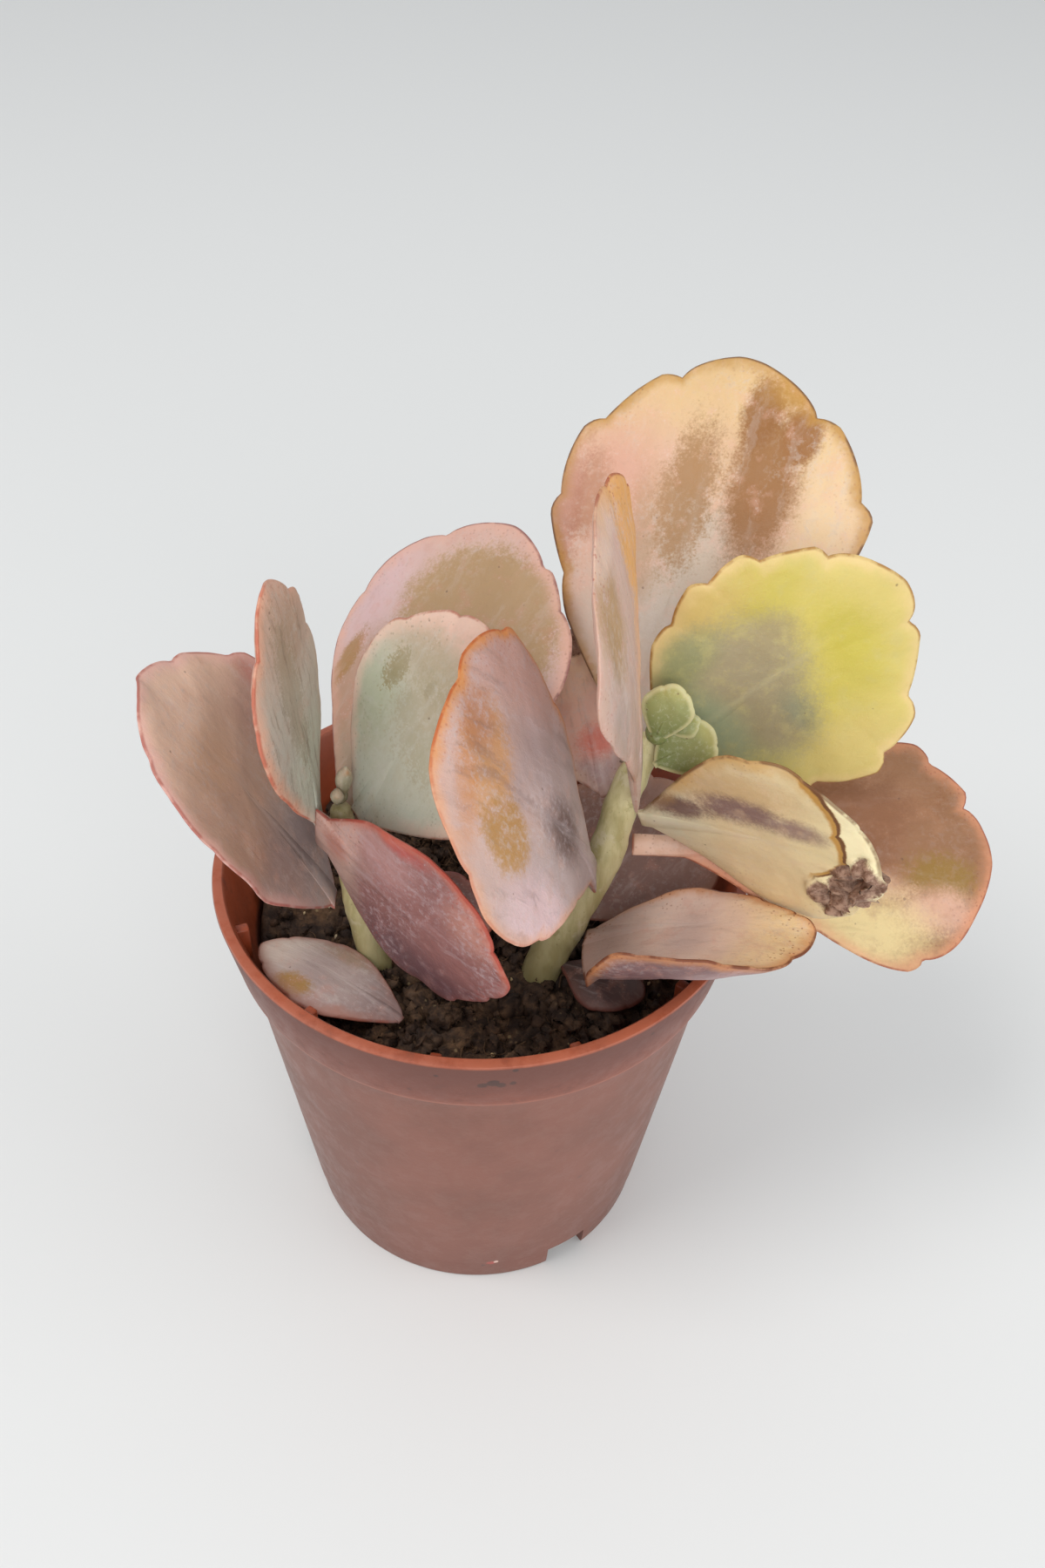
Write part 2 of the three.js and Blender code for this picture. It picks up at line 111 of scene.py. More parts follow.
# base is the stalk's end; heading and rise give the line from it to the tip, roll turns the blade about that
# line, and curl, cup and twist bend it, in degrees. left and right are the notches, as turns from the tip.
LEAVES = {
    "leaf_right_back": dict(
        base=(14.69, -1.71, 63.22), heading=69, rise=49, roll=3, length=38.6, width=29, widest=0.63,
        lean=0.07, curl=-10, cup=16, teeth=0.085, left=(24, 51, 78, 100), right=(35, 64, 88), wave=0.5),
    "leaf_right_yellow": dict(
        base=(17.66, -2.47, 65.9), heading=7, rise=41, roll=-82, length=24.9, width=26, widest=0.52, lean=0.1,
        curl=5, cup=12, teeth=0.12, left=(40, 67, 89, 112), right=(21, 52, 78, 110), wave=0.4),
    "leaf_right_upright": dict(
        base=(14.52, -7.07, 63.02), heading=-135, rise=75, roll=53, length=33.8, width=24.5, widest=0.75,
        curl=-8, cup=6, left=(20, 45, 75, 105), right=(25, 50, 80, 105), wave=0.3),
    "leaf_centre_front": dict(
        base=(10.98, -8.87, 54.39), heading=-136, rise=52, roll=53, length=32.6, width=27, widest=0.72,
        lean=0.12, curl=-30, cup=9, twist=-5, left=(35, 82, 115), right=(28, 58, 90), wave=0.4),
    "leaf_right_folded": dict(
        base=(15.45, -6.44, 60.1), heading=-33, rise=12, roll=-108, length=23.6, width=22, widest=0.59,
        lean=-0.05, curl=30, cup=16, twist=4, left=(30, 60, 85), right=(40, 80), wave=0.2),
    "leaf_right_far": dict(
        base=(15.21, -5.72, 55.95), heading=0, rise=-3, roll=-37, length=34, width=21.4, widest=0.75,
        lean=-0.02, curl=-3, cup=10, teeth=0.1, left=(24, 44, 85), right=(50, 88), wave=0.4),
    "leaf_right_rim": dict(
        base=(10.86, -9.28, 46.37), heading=-16, rise=20, roll=-2, length=22.3, width=20.5, widest=0.49,
        lean=0.55, curl=-12, cup=98, cup_start=0.2, left=(30, 55, 80), right=(25, 60, 95), wave=0.4),
    "leaf_right_inner": dict(
        base=(9.81, -4.76, 45.44), heading=44, rise=20, roll=-22, length=18, width=18, widest=0.56, curl=10,
        cup=20, left=(30, 55, 80), right=(30, 55, 80), wave=0.2),
    "leaf_centre_back": dict(
        base=(12.16, -2.56, 60.01), heading=108, rise=37, roll=25, length=16.5, width=14.5, widest=0.58,
        curl=5, cup=15, left=(30, 60), right=(30, 60), wave=0.2),
    "leaf_left_outer": dict(
        base=(-14.7, -6.78, 49.27), heading=174.8, rise=58, roll=-6, length=29.4, width=25.6, widest=0.54,
        lean=0.16, curl=2, cup=34, twist=6, left=(42, 81), right=(28, 55, 85), wave=0.5),
    "leaf_left_upright": dict(
        base=(-15.57, -5.7, 58.62), heading=-124, rise=82, roll=66, length=27.8, width=14.8, widest=0.6,
        lean=-0.05, curl=5, cup=12, twist=1, teeth=0.08, left=(38, 68), right=(35, 68), wave=0.3),
    "leaf_left_back": dict(
        base=(-13.23, -3.19, 58.38), heading=48, rise=41, roll=4, length=31, width=27, widest=0.58, lean=0.05,
        curl=6, cup=0, left=(36, 76), right=(28, 46, 90), wave=0.4),
    "leaf_left_green": dict(
        base=(-11.65, -6.06, 59.92), heading=10, rise=59, roll=-27, length=23, width=21.4, widest=0.55,
        lean=0.12, curl=3, cup=17, left=(25, 58, 87), right=(28, 55, 80), wave=0.3),
    "leaf_left_front": dict(
        base=(-15.4, -7, 58.8), heading=-42.3, rise=-8.8, roll=88, length=24.1, width=18.2, widest=0.54,
        lean=-0.06, curl=-2, cup=-11, stalk=0.13, left=(28, 52, 80), right=(30, 60), wave=0.3),
    "leaf_left_low": dict(
        base=(-9.63, -7.86, 48), heading=4, rise=-6, roll=-30, length=11, width=9, widest=0.56, curl=0,
        cup=12, left=(30, 60), right=(30, 60), wave=0.1),
    "leaf_fallen_left": dict(
        base=(-7.9, -17, 43.1), heading=150, rise=5, roll=-7, length=16, width=9, widest=0.52, curl=-7, cup=6,
        twist=2, left=(35, 75), right=(35, 75), wave=0.1),
    "leaf_fallen_right": dict(
        base=(8.7, -9.6, 42.5), heading=-30, rise=2, roll=0, length=8.6, width=7.5, widest=0.56, curl=0,
        cup=-8, left=(35, 75), right=(35, 75), wave=0.1),
}

# ---- Geometry helpers ----


def smoothstep(value, low, high):
    t = min(1, max(0, (value - low) / (high - low)))
    return t * t * (3 - 2 * t)


def spoke(bearing, radius=1, height=0):
    """The point at a bearing and a radius from the Z axis."""
    return Vector((radius * math.cos(bearing), radius * math.sin(bearing), height))


def axes(turns):
    """Ahead, right and up, from a heading, rise and roll in degrees."""
    heading, rise, roll = (math.radians(turns[k]) for k in ("heading", "rise", "roll"))
    ahead = Vector((math.cos(rise) * math.cos(heading), math.cos(rise) * math.sin(heading), math.sin(rise)))
    level = Vector((math.sin(heading), -math.cos(heading), 0))
    upright = level.cross(ahead)
    return (ahead, level * math.cos(roll) + upright * math.sin(roll),
            upright * math.cos(roll) - level * math.sin(roll))


def new_object(name, bm, look=None, smooth=True):
    """Turns a bmesh into an object of the scene, and names both after the piece."""
    mesh = bpy.data.meshes.new(name)
    bm.to_mesh(mesh)
    bm.free()
    if smooth:
        mesh.shade_smooth()
    thing = bpy.data.objects.new(name, mesh)
    bpy.context.scene.collection.objects.link(thing)
    if look:
        mesh.materials.append(look)
    return thing


def tube(bm, rings, segments):
    """Wraps a grid round into a tube. Each ring is a function from an angle to a point."""
    last = len(rings) - 1
    made = bmesh.ops.create_grid(bm, x_segments=last, y_segments=segments, size=0.5)
    for vert in made["verts"]:
        ring = rings[round((vert.co.x + 0.5) * last)]
        vert.co = ring(2 * math.pi * round((vert.co.y + 0.5) * segments) / segments)
    bmesh.ops.remove_doubles(bm, verts=bm.verts, dist=MERGE)
    bmesh.ops.recalc_face_normals(bm, faces=bm.faces)


def lathe(bm, points, segments):
    """Turns a profile of (radius, height) in millimetres about the Z axis."""
    def ring(radius, height):
        return lambda angle: spoke(angle, radius, height) * MM
    tube(bm, [ring(*point) for point in points], segments)


def boxes_round(kind, radius, height, size):
    """A bmesh of boxes at even bearings about the Z axis, in millimetres."""
    bm = bmesh.new()
    for i in range(kind["count"]):
        bearing = math.radians(kind["first"] + i * 360 / kind["count"])
        turned = Matrix.Translation(spoke(bearing, radius, height) * MM) @ Matrix.Rotation(bearing, 4, "Z")
        bmesh.ops.create_cube(bm, size=1, matrix=turned @ Matrix.Diagonal((*Vector(size) * MM, 1)))
    return bm


def scallop(turn, notches, depth):
    """How far the margin stands out: steeply up after each notch, then falling to the next."""
    edges = [0, *notches, notches[-1] + BASE_LOBE]
    i = max(k for k, edge in enumerate(edges) if turn >= edge)
    if i > len(edges) - 2:
        return 0
    u = (turn - edges[i]) / (edges[i + 1] - edges[i])
    if i == 0:
        return depth * (1 - u ** 4) ** 0.7
    return depth * min(1, u / SCALLOP_RISE) ** 0.6 * (1 - u) ** 0.9


def leaf_margin(leaf, turn):
    """Where the margin is at a turn from the tip: (distance out from the midrib, distance along it)."""
    away = abs(turn)
    share = (1 + math.cos(math.radians(away))) / 2
    bulge = math.sin(math.pi * share ** (math.log(0.5) / math.log(leaf["widest"])))
    side = 1 if turn >= 0 else -1
    push = 1 + scallop(away, leaf["right"] if side > 0 else leaf["left"], leaf["teeth"])
    half = leaf["width"] / 2 * max(bulge, 0) ** ROUNDNESS * (1 + side * leaf["lean"]) * push
    stalk = 0 if away > 179.9 else leaf["stalk"] * leaf["width"] * min(1, (1 - share) / TIP)
    middle = CENTRE * leaf["length"]
    return side * max(half, stalk), middle + (leaf["length"] * share - middle) * push


def bend(distance, span, turn, start, lift):
    """Bends a line of this span through a turn: where a point at this distance and lift comes to lie."""
    if abs(turn) < 1e-4:
        return distance - start * span, lift
    radius = span / turn
    angle = distance / radius - start * turn
    return (radius - lift) * math.sin(angle), radius - (radius - lift) * math.cos(angle)


def leaf_placer(leaf):
    """A function from a point of the flat leaf (out, along, lift) to its place, in millimetres."""
    midrib, right, face = axes(leaf)
    curl, cup, twist = (math.radians(leaf[k]) for k in ("curl", "cup", "twist"))
    base = Vector(leaf["base"])
    foot_along, foot_lift = bend(0, leaf["length"], curl, 0.5, 0)

    def place(out, along, lift):
        share = along / leaf["length"]
        x, z = bend(out, leaf["width"], cup * smoothstep(share, 0, leaf["cup_start"]), 0, lift)
        turned = twist * share
        across = x * math.cos(turned) - z * math.sin(turned)
        above = x * math.sin(turned) + z * math.cos(turned)
        forward, raised = bend(along, leaf["length"], curl, 0.5, above)
        return base + midrib * (forward - foot_along) + right * across + face * (raised - foot_lift)

    return place


def add_leaf(bm, leaf, around, rings, thickness, reach, seed=0.0):
    """Presses a sphere flat into a leaf: its equator is the margin, its poles the middles of the faces.

    reach draws the stalk's end out into its stem. The attributes hold the distance from the margin in
    millimetres, the shares of the length and of the half width, and 1 on the upper face or 0 on the lower.
    """
    layers = {k: bm.verts.layers.float.get(k) or bm.verts.layers.float.new(k)
              for k in ("from_margin", "along", "across", "upper")}
    place = leaf_placer(leaf)
    half = leaf["width"] / 2
    middle = CENTRE * leaf["length"]
    made = bmesh.ops.create_uvsphere(bm, u_segments=around, v_segments=rings, radius=1)
    for vert in made["verts"]:
        x, y, z = vert.co
        flat = min(1, math.hypot(x, y))
        spread = flat ** FACE_SPREAD
        turn = math.degrees(math.atan2(-y, x)) if flat > 1e-5 else 0
        edge_out, edge_along = leaf_margin(leaf, turn)
        out = edge_out * spread
        along = middle + (edge_along - middle) * spread
        side = 1 if z >= 0 else -1
        lift = side * thickness / 2 * math.sqrt(max(0, 1 - spread ** (1 / SECTION)))
        share = along / leaf["length"]
        body = smoothstep(share, 0.1, 0.4)
        rib = math.exp(-((out / MIDRIB_WIDTH) ** 2)) * smoothstep(1 - share, 0.05, 0.5)
        lift -= (MIDRIB_UPPER if side > 0 else MIDRIB_LOWER) * rib
        bearing = math.radians(turn)
        ripple = math.sin(bearing * 5 + seed) + 0.6 * math.sin(bearing * 9 + 2.3 * seed)
        lift += leaf["wave"] * WAVE_HEIGHT * ripple * spread ** 6 * body
        flesh = Vector((out, along, 3 * seed))
        lift += body * sum(height * noise.noise(flesh * fineness) for height, fineness in SWELLS)
        for spot_across, spot_share, half_width, half_length, height in leaf["dry"]:
            far = math.hypot((out / half - spot_across) / half_width, (share - spot_share) / half_length)
            dried = smoothstep(1.3 - far, 0, 0.7)
            lift += dried * height * noise.noise(flesh * CRUMPLE)
            along += dried * height * 0.7 * noise.noise(flesh * 1.1 + Vector((9, 4, 2)))
        stalk_end = along - reach * (1 - smoothstep(share, 0, 0.12))
        vert[layers["from_margin"]] = (1 - spread) * math.hypot(edge_out, edge_along - middle)
        vert[layers["along"]] = share
        vert[layers["across"]] = out / half
        vert[layers["upper"]] = 0.5 + 0.5 * side * min(1, abs(z) * 6)
        vert.co = place(out, stalk_end, lift) * MM


def stem_points(stem):
    """Centre, direction and radius along a smooth curve through a stem's points."""
    points = [Vector(p) for p in stem["points"]]
    ends = [points[0] * 2 - points[1], *points, points[-1] * 2 - points[-2]]
    found = []
    for i in range(STEM_STEPS + 1):
        at = i / STEM_STEPS * (len(points) - 1)
        k = min(int(at), len(points) - 2)
        t = at - k
        p0, p1, p2, p3 = ends[k:k + 4]
        square = 2 * p0 - 5 * p1 + 4 * p2 - p3
        cube = 3 * p1 - p0 - 3 * p2 + p3
        centre = 0.5 * (2 * p1 + (p2 - p0) * t + square * t * t + cube * t ** 3)
        along = 0.5 * ((p2 - p0) + 2 * square * t + 3 * cube * t * t)
        radius = stem["radii"][k] * (1 - t) + stem["radii"][k + 1] * t
        near = min(abs(centre.z - node) for node in stem["nodes"])
        radius += NODE_SWELL * math.exp(-((near / NODE_SPREAD) ** 2))
        found.append((centre, along.normalized(), radius))
    return found


def add_tube_along(bm, path, around, bumps=0.0):
    """A closed tube through (centre, direction, radius) entries in millimetres, rounded at its last end."""
    start, heading, _ = path[0]
    end, way, width = path[-1]
    tip = [(end + way * width * out, way, width * share) for out, share in TUBE_END]

    def ring(centre, along, radius):
        across = (Vector((1, 0, 0)) - along * along.x).normalized()
        up = along.cross(across)

        def at(angle):
            shift = 1 + bumps * noise.noise(centre * 0.8 + spoke(angle) * 1.3)
            return (centre + (across * math.cos(angle) + up * math.sin(angle)) * radius * shift) * MM
        return at

    tube(bm, [ring(*entry) for entry in [(start, heading, 0), *path, *tip]], around)


# ---- Node material helpers ----

MIX_INPUTS, MIX_OUTPUT = (0, 6, 7), 2  # the Mix node's sockets for its share and two colours
GLOW, GLOW_DEPTH = (1.0, 0.5, 0.3), 1.2  # light inside leaves and plastic: its tint, and millimetres
SEED_SHIFT = (0.37, 0.11, 0.23)  # how far apart two leaves' patterns are taken, in metres


def colour(text):
    """A display colour such as d8c070 as linear values."""
    parts = [int(text[i:i + 2], 16) / 255 for i in (0, 2, 4)]
    return tuple(c / 12.92 if c <= 0.04045 else ((c + 0.055) / 1.055) ** 2.4 for c in parts) + (1,)


class Look:
    """A material whose colour is built up in layers."""

    def __init__(self, name):
        self.material = bpy.data.materials.new(name)
        self.material.use_nodes = True
        self.tree = self.material.node_tree
        self.tree.nodes.clear()
        output = self.node("ShaderNodeOutputMaterial")
        self.shader = self.node("ShaderNodeBsdfPrincipled")
        self.paint = None
        self.link(self.shader.outputs["BSDF"], output.inputs["Surface"])

    def node(self, kind, sockets=(), **settings):
        """A new node with these settings, and with its sockets set or linked."""
        made = self.tree.nodes.new(kind)
        for key, value in settings.items():
            setattr(made, key, value)
        for key, value in dict(sockets).items():
            self.put(value, made.inputs[key])
        return made

    def link(self, source, target):
        self.tree.links.new(source, target)

    def put(self, value, target):
        if isinstance(value, bpy.types.NodeSocket):
            self.link(value, target)
        else:
            target.default_value = value

    def math(self, operation, a, b=0.0):
        return self.node("ShaderNodeMath", {0: a, 1: b}, operation=operation).outputs[0]

    def plus(self, a, b):
        return self.math("ADD", a, b)

    def minus(self, a, b):
        return self.math("SUBTRACT", a, b)

    def times(self, first, *others):
        for other in others:
            first = self.math("MULTIPLY", first, other)
        return first

    def distance(self, dx, dy):
        return self.math("SQRT", self.plus(self.times(dx, dx), self.times(dy, dy)))

    def jittered(self, value, source, amount):
        """A value moved up and down by a noise."""
        return self.plus(value, self.times(self.minus(source, 0.5), amount))

    def ramp(self, value, low, high, out_low=0.0, out_high=1.0):
        """From out_low where value is low to out_high where it is high, and level beyond."""
        sockets = enumerate((value, low, high, out_low, out_high))
        return self.node("ShaderNodeMapRange", sockets, interpolation_type="SMOOTHSTEP").outputs[0]

    def mix(self, share, under, over):
        sockets = zip(MIX_INPUTS, (share, under, over))
        return self.node("ShaderNodeMix", sockets, data_type="RGBA").outputs[MIX_OUTPUT]

    def start(self, value, low, high, under, over):
        """Starts the paint, from one shade where value is low to another where it is high."""
        self.paint = self.mix(self.ramp(value, low, high), colour(under), colour(over))

    def lay(self, share, shade):
        """Lays a shade over the paint, where share is above 0."""
        self.paint = self.mix(share, self.paint, colour(shade))

    def tint(self, value, low, high, strength, shade):
        """Lays a shade over the paint, from nothing where value is low to full strength where it is high."""
        self.lay(self.ramp(value, low, high, 0.0, strength), shade)

    def attribute(self, name):
        return self.node("ShaderNodeAttribute", attribute_name=name).outputs["Fac"]

    def place(self):
        return self.node("ShaderNodeTexCoord").outputs["Object"]

    def place_parts(self):
        """X, Y and Z in metres."""
        return self.node("ShaderNodeSeparateXYZ", {0: self.place()}).outputs

    def noise(self, scale, detail=3.0, roughness=0.55, where=None):
        sockets = {"Vector": where or self.place(), "Scale": scale, "Detail": detail, "Roughness": roughness}
        return self.node("ShaderNodeTexNoise", sockets).outputs["Fac"]

    def cells(self, scale, where):
        return self.node("ShaderNodeTexVoronoi", {"Vector": where, "Scale": scale}, feature="F1").outputs

    def spots(self, scale, size):
        """1 inside scattered round spots, 0 outside."""
        return self.ramp(self.cells(scale, self.place())["Distance"], size, size * 0.5)

    def bump(self, height, distance, strength):
        made = self.node("ShaderNodeBump", {"Strength": strength, "Distance": distance, "Height": height})
        self.link(made.outputs["Normal"], self.shader.inputs["Normal"])

    def finish(self, roughness, subsurface=0.0, specular=0.35):
        sockets = {"Base Color": self.paint, "Roughness": roughness, "Specular IOR Level": specular}
        if subsurface:
            sockets |= {"Subsurface Weight": subsurface, "Subsurface Radius": GLOW,
                        "Subsurface Scale": GLOW_DEPTH * MM}
        for key, value in sockets.items():
            self.put(value, self.shader.inputs[key])
        return self.material


class LeafSkin(Look):
    """The skin of a leaf, painted from the place on the leaf, so that its marks stay where they grew."""

    def __init__(self, name, seed):
        super().__init__(name)
        self.along = self.attribute("along")
        self.across = self.attribute("across")
        self.edge = self.attribute("from_margin")
        shift = [step * seed for step in SEED_SHIFT]
        moved = self.node("ShaderNodeVectorMath", {0: self.place(), 1: shift}, operation="ADD")
        self.where = moved.outputs[0]
        self.wide = self.noise(150, 3, 0.5, self.where)
        self.middling = self.noise(480, 4, 0.6, self.where)
        self.fine = self.noise(1500, 4, 0.7, self.where)
        self.grain = self.noise(4200, 2, 0.6, self.where)
        grown = {0: self.times(self.ragged(self.across, 0.12, 0.05), 4.0),
                 1: self.times(self.ragged(self.along, 0.1, 0.0), 1.6), 2: 1.7 * seed}
        self.streaks = self.noise(2.6, 4, 0.6, self.node("ShaderNodeCombineXYZ", grown).outputs[0])

    def ragged(self, value, coarse, fine):
        """A value moved about by the coarse and fine noise, for torn edges."""
        return self.jittered(self.jittered(value, self.middling, coarse), self.fine, fine)

    def area(self, across, along, half_width, half_length, softness, torn):
        """1 inside an oval on the leaf, 0 outside it. torn is how ragged its edge is."""
        dx = self.math("DIVIDE", self.minus(self.across, across), half_width)
        dy = self.math("DIVIDE", self.minus(self.along, along), half_length)
        far = self.jittered(self.distance(dx, dy), self.grain, 1.1 * torn)
        return self.ramp(self.ragged(far, 0.9 * torn, 0.9 * torn), 1 + softness / 2, 1 - softness)

    def face(self, stalk, body, tip, blotches):
        """The paint of one face, from the stalk to the tip, with its blotches.

        A blotch is (across, along, half width, half length, colour, strength, softness, torn). Without a last
        value, a harder blotch is more torn.
        """
        shifted = self.jittered(self.along, self.wide, 0.5)
        self.start(shifted, 0.04, 0.42, stalk, body)
        self.lay(self.ramp(shifted, 0.5, 0.98), tip)
        for across, along, half_width, half_length, shade, strength, softness, *torn in blotches:
            torn = torn[0] if torn else max(0.25, 1.1 - softness)
            share = self.area(across, along, half_width, half_length, softness, torn)
            self.lay(self.times(share, strength), shade)
        return self.paint

    def dots(self, scale, size, kept):
        """1 inside a random share of small round spots."""
        cells = self.cells(scale, self.where)
        chosen = self.node("ShaderNodeSeparateColor", {0: cells["Color"]}).outputs[0]
        spot = self.ramp(self.ragged(cells["Distance"], 0.15, 0.25), size, size * 0.45)
        return self.times(spot, self.ramp(chosen, kept, kept - 0.02))

    def fold(self, slope, width, end, inner):
        """Paints the inner face of a flap that is turned over at the margin, and its fold's line and dark
        core; the mesh itself is not folded.
        """
        width = self.plus(self.times(self.across, slope), width)
        strip = self.times(self.ramp(self.along, 0.58, 0.72), self.ramp(self.across, end, end - 0.2))
        inside = self.minus(self.ragged(self.edge, 0.4, 0.3), width)
        self.lay(self.times(strip, self.ramp(inside, 0.12, -0.12)), inner)
        self.lay(self.times(strip, self.ramp(self.math("ABSOLUTE", inside), 0.6, 0.2)), "b98a44")
        core = self.ramp(self.math("ABSOLUTE", self.plus(inside, 0.25)), 0.26, 0.08)
        self.lay(self.times(strip, core), "6d4526")

    def dry(self, places):
        """Browns the dry places, which add_leaf crumples."""
        brown = self.mix(self.ramp(self.fine, 0.35, 0.65), colour("6e4c3a"), colour("a88874"))
        for *oval, _ in places:
            self.paint = self.mix(self.area(*oval, 0.15, 0.22), self.paint, brown)


def leaf_look(name, seed, colours, blotches=(), low_blotches=(), bloom=0.3, bloom_colour="d5cac6", band=0.8,
              rim_strength=0.8, freckles=0.0, freckle_colour="7a3a30", streaks=0.3, streak_colour="6f5a52",
              warm="c98f7c", fold=(), dry=(), sides=(1.0, 1.0)):
    """A leaf's skin, from the flesh up to the bloom, the margin's glow, the marks and the rim's line.

    band is the width of the margin's glow. sides holds how strongly the left and right margins are coloured.
    """
    stalk, body, tip, under, margin, rim = colours
    look = LeafSkin(name, seed)
    upper = look.face(stalk, body, tip, blotches)
    lower = look.face(stalk, under, under, low_blotches)
    look.paint = look.mix(look.ramp(look.attribute("upper"), 0.45, 0.55), lower, upper)
    look.tint(look.middling, 0.5, 0.7, 0.3, warm)
    look.tint(look.streaks, 0.52, 0.72, streaks, streak_colour)
    look.tint(look.streaks, 0.46, 0.3, 0.45 * bloom, bloom_colour)
    look.tint(look.fine, 0.55, 0.75, 0.16, streak_colour)
    wax = look.times(look.ramp(look.fine, 0.47, 0.66), look.ramp(look.wide, 0.38, 0.62))
    look.lay(look.times(wax, 0.8 * bloom), bloom_colour)
    scuff = look.times(look.ramp(look.grain, 0.56, 0.7), look.ramp(look.middling, 0.5, 0.64))
    look.lay(look.times(scuff, 0.75 * bloom), bloom_colour)
    vein = look.ramp(look.math("ABSOLUTE", look.across), 0.05, 0.0, 0.0, 0.12)
    look.lay(look.times(vein, look.ramp(look.along, 0.9, 0.4)), bloom_colour)
    side = look.ramp(look.across, -0.3, 0.3, *sides)
    glow = look.ramp(look.ragged(look.edge, 2.6 * band, 0.5), 2.0 * band, 0.0, 0.0, 0.8)
    patchy = look.ramp(look.wide, 0.3, 0.6, 0.65, 1.0)
    off_stalk = look.ramp(look.along, 0.04, 0.24, 0.2, 1.0)
    look.lay(look.times(glow, patchy, off_stalk, side), margin)
    if freckles:
        near = look.ramp(look.edge, 5.0, 0.4, 0.12, 1.0)
        dots = look.times(look.dots(2400, 0.36, 0.6), look.ramp(look.wide, 0.42, 0.56), near, freckles)
        look.lay(dots, freckle_colour)
    look.lay(look.times(look.dots(800, 0.12, 0.14), 0.5), "5c4236")
    if fold:
        look.fold(*fold)
    broken = look.times(look.ramp(look.middling, 0.36, 0.56, 0.25, 1.0), side)
    look.lay(look.times(look.ramp(look.edge, 0.32, 0.08, 0.0, rim_strength), broken), rim)
    if dry:
        look.dry(dry)
    look.bump(look.plus(look.times(look.fine, 0.6), look.times(look.streaks, 0.8)), 0.16 * MM, 0.55)
    rough = look.plus(look.ramp(look.middling, 0.3, 0.7, 0.42, 0.56), look.times(wax, 0.2))
    return look.finish(rough, 0.1)


# ---- Looks ----

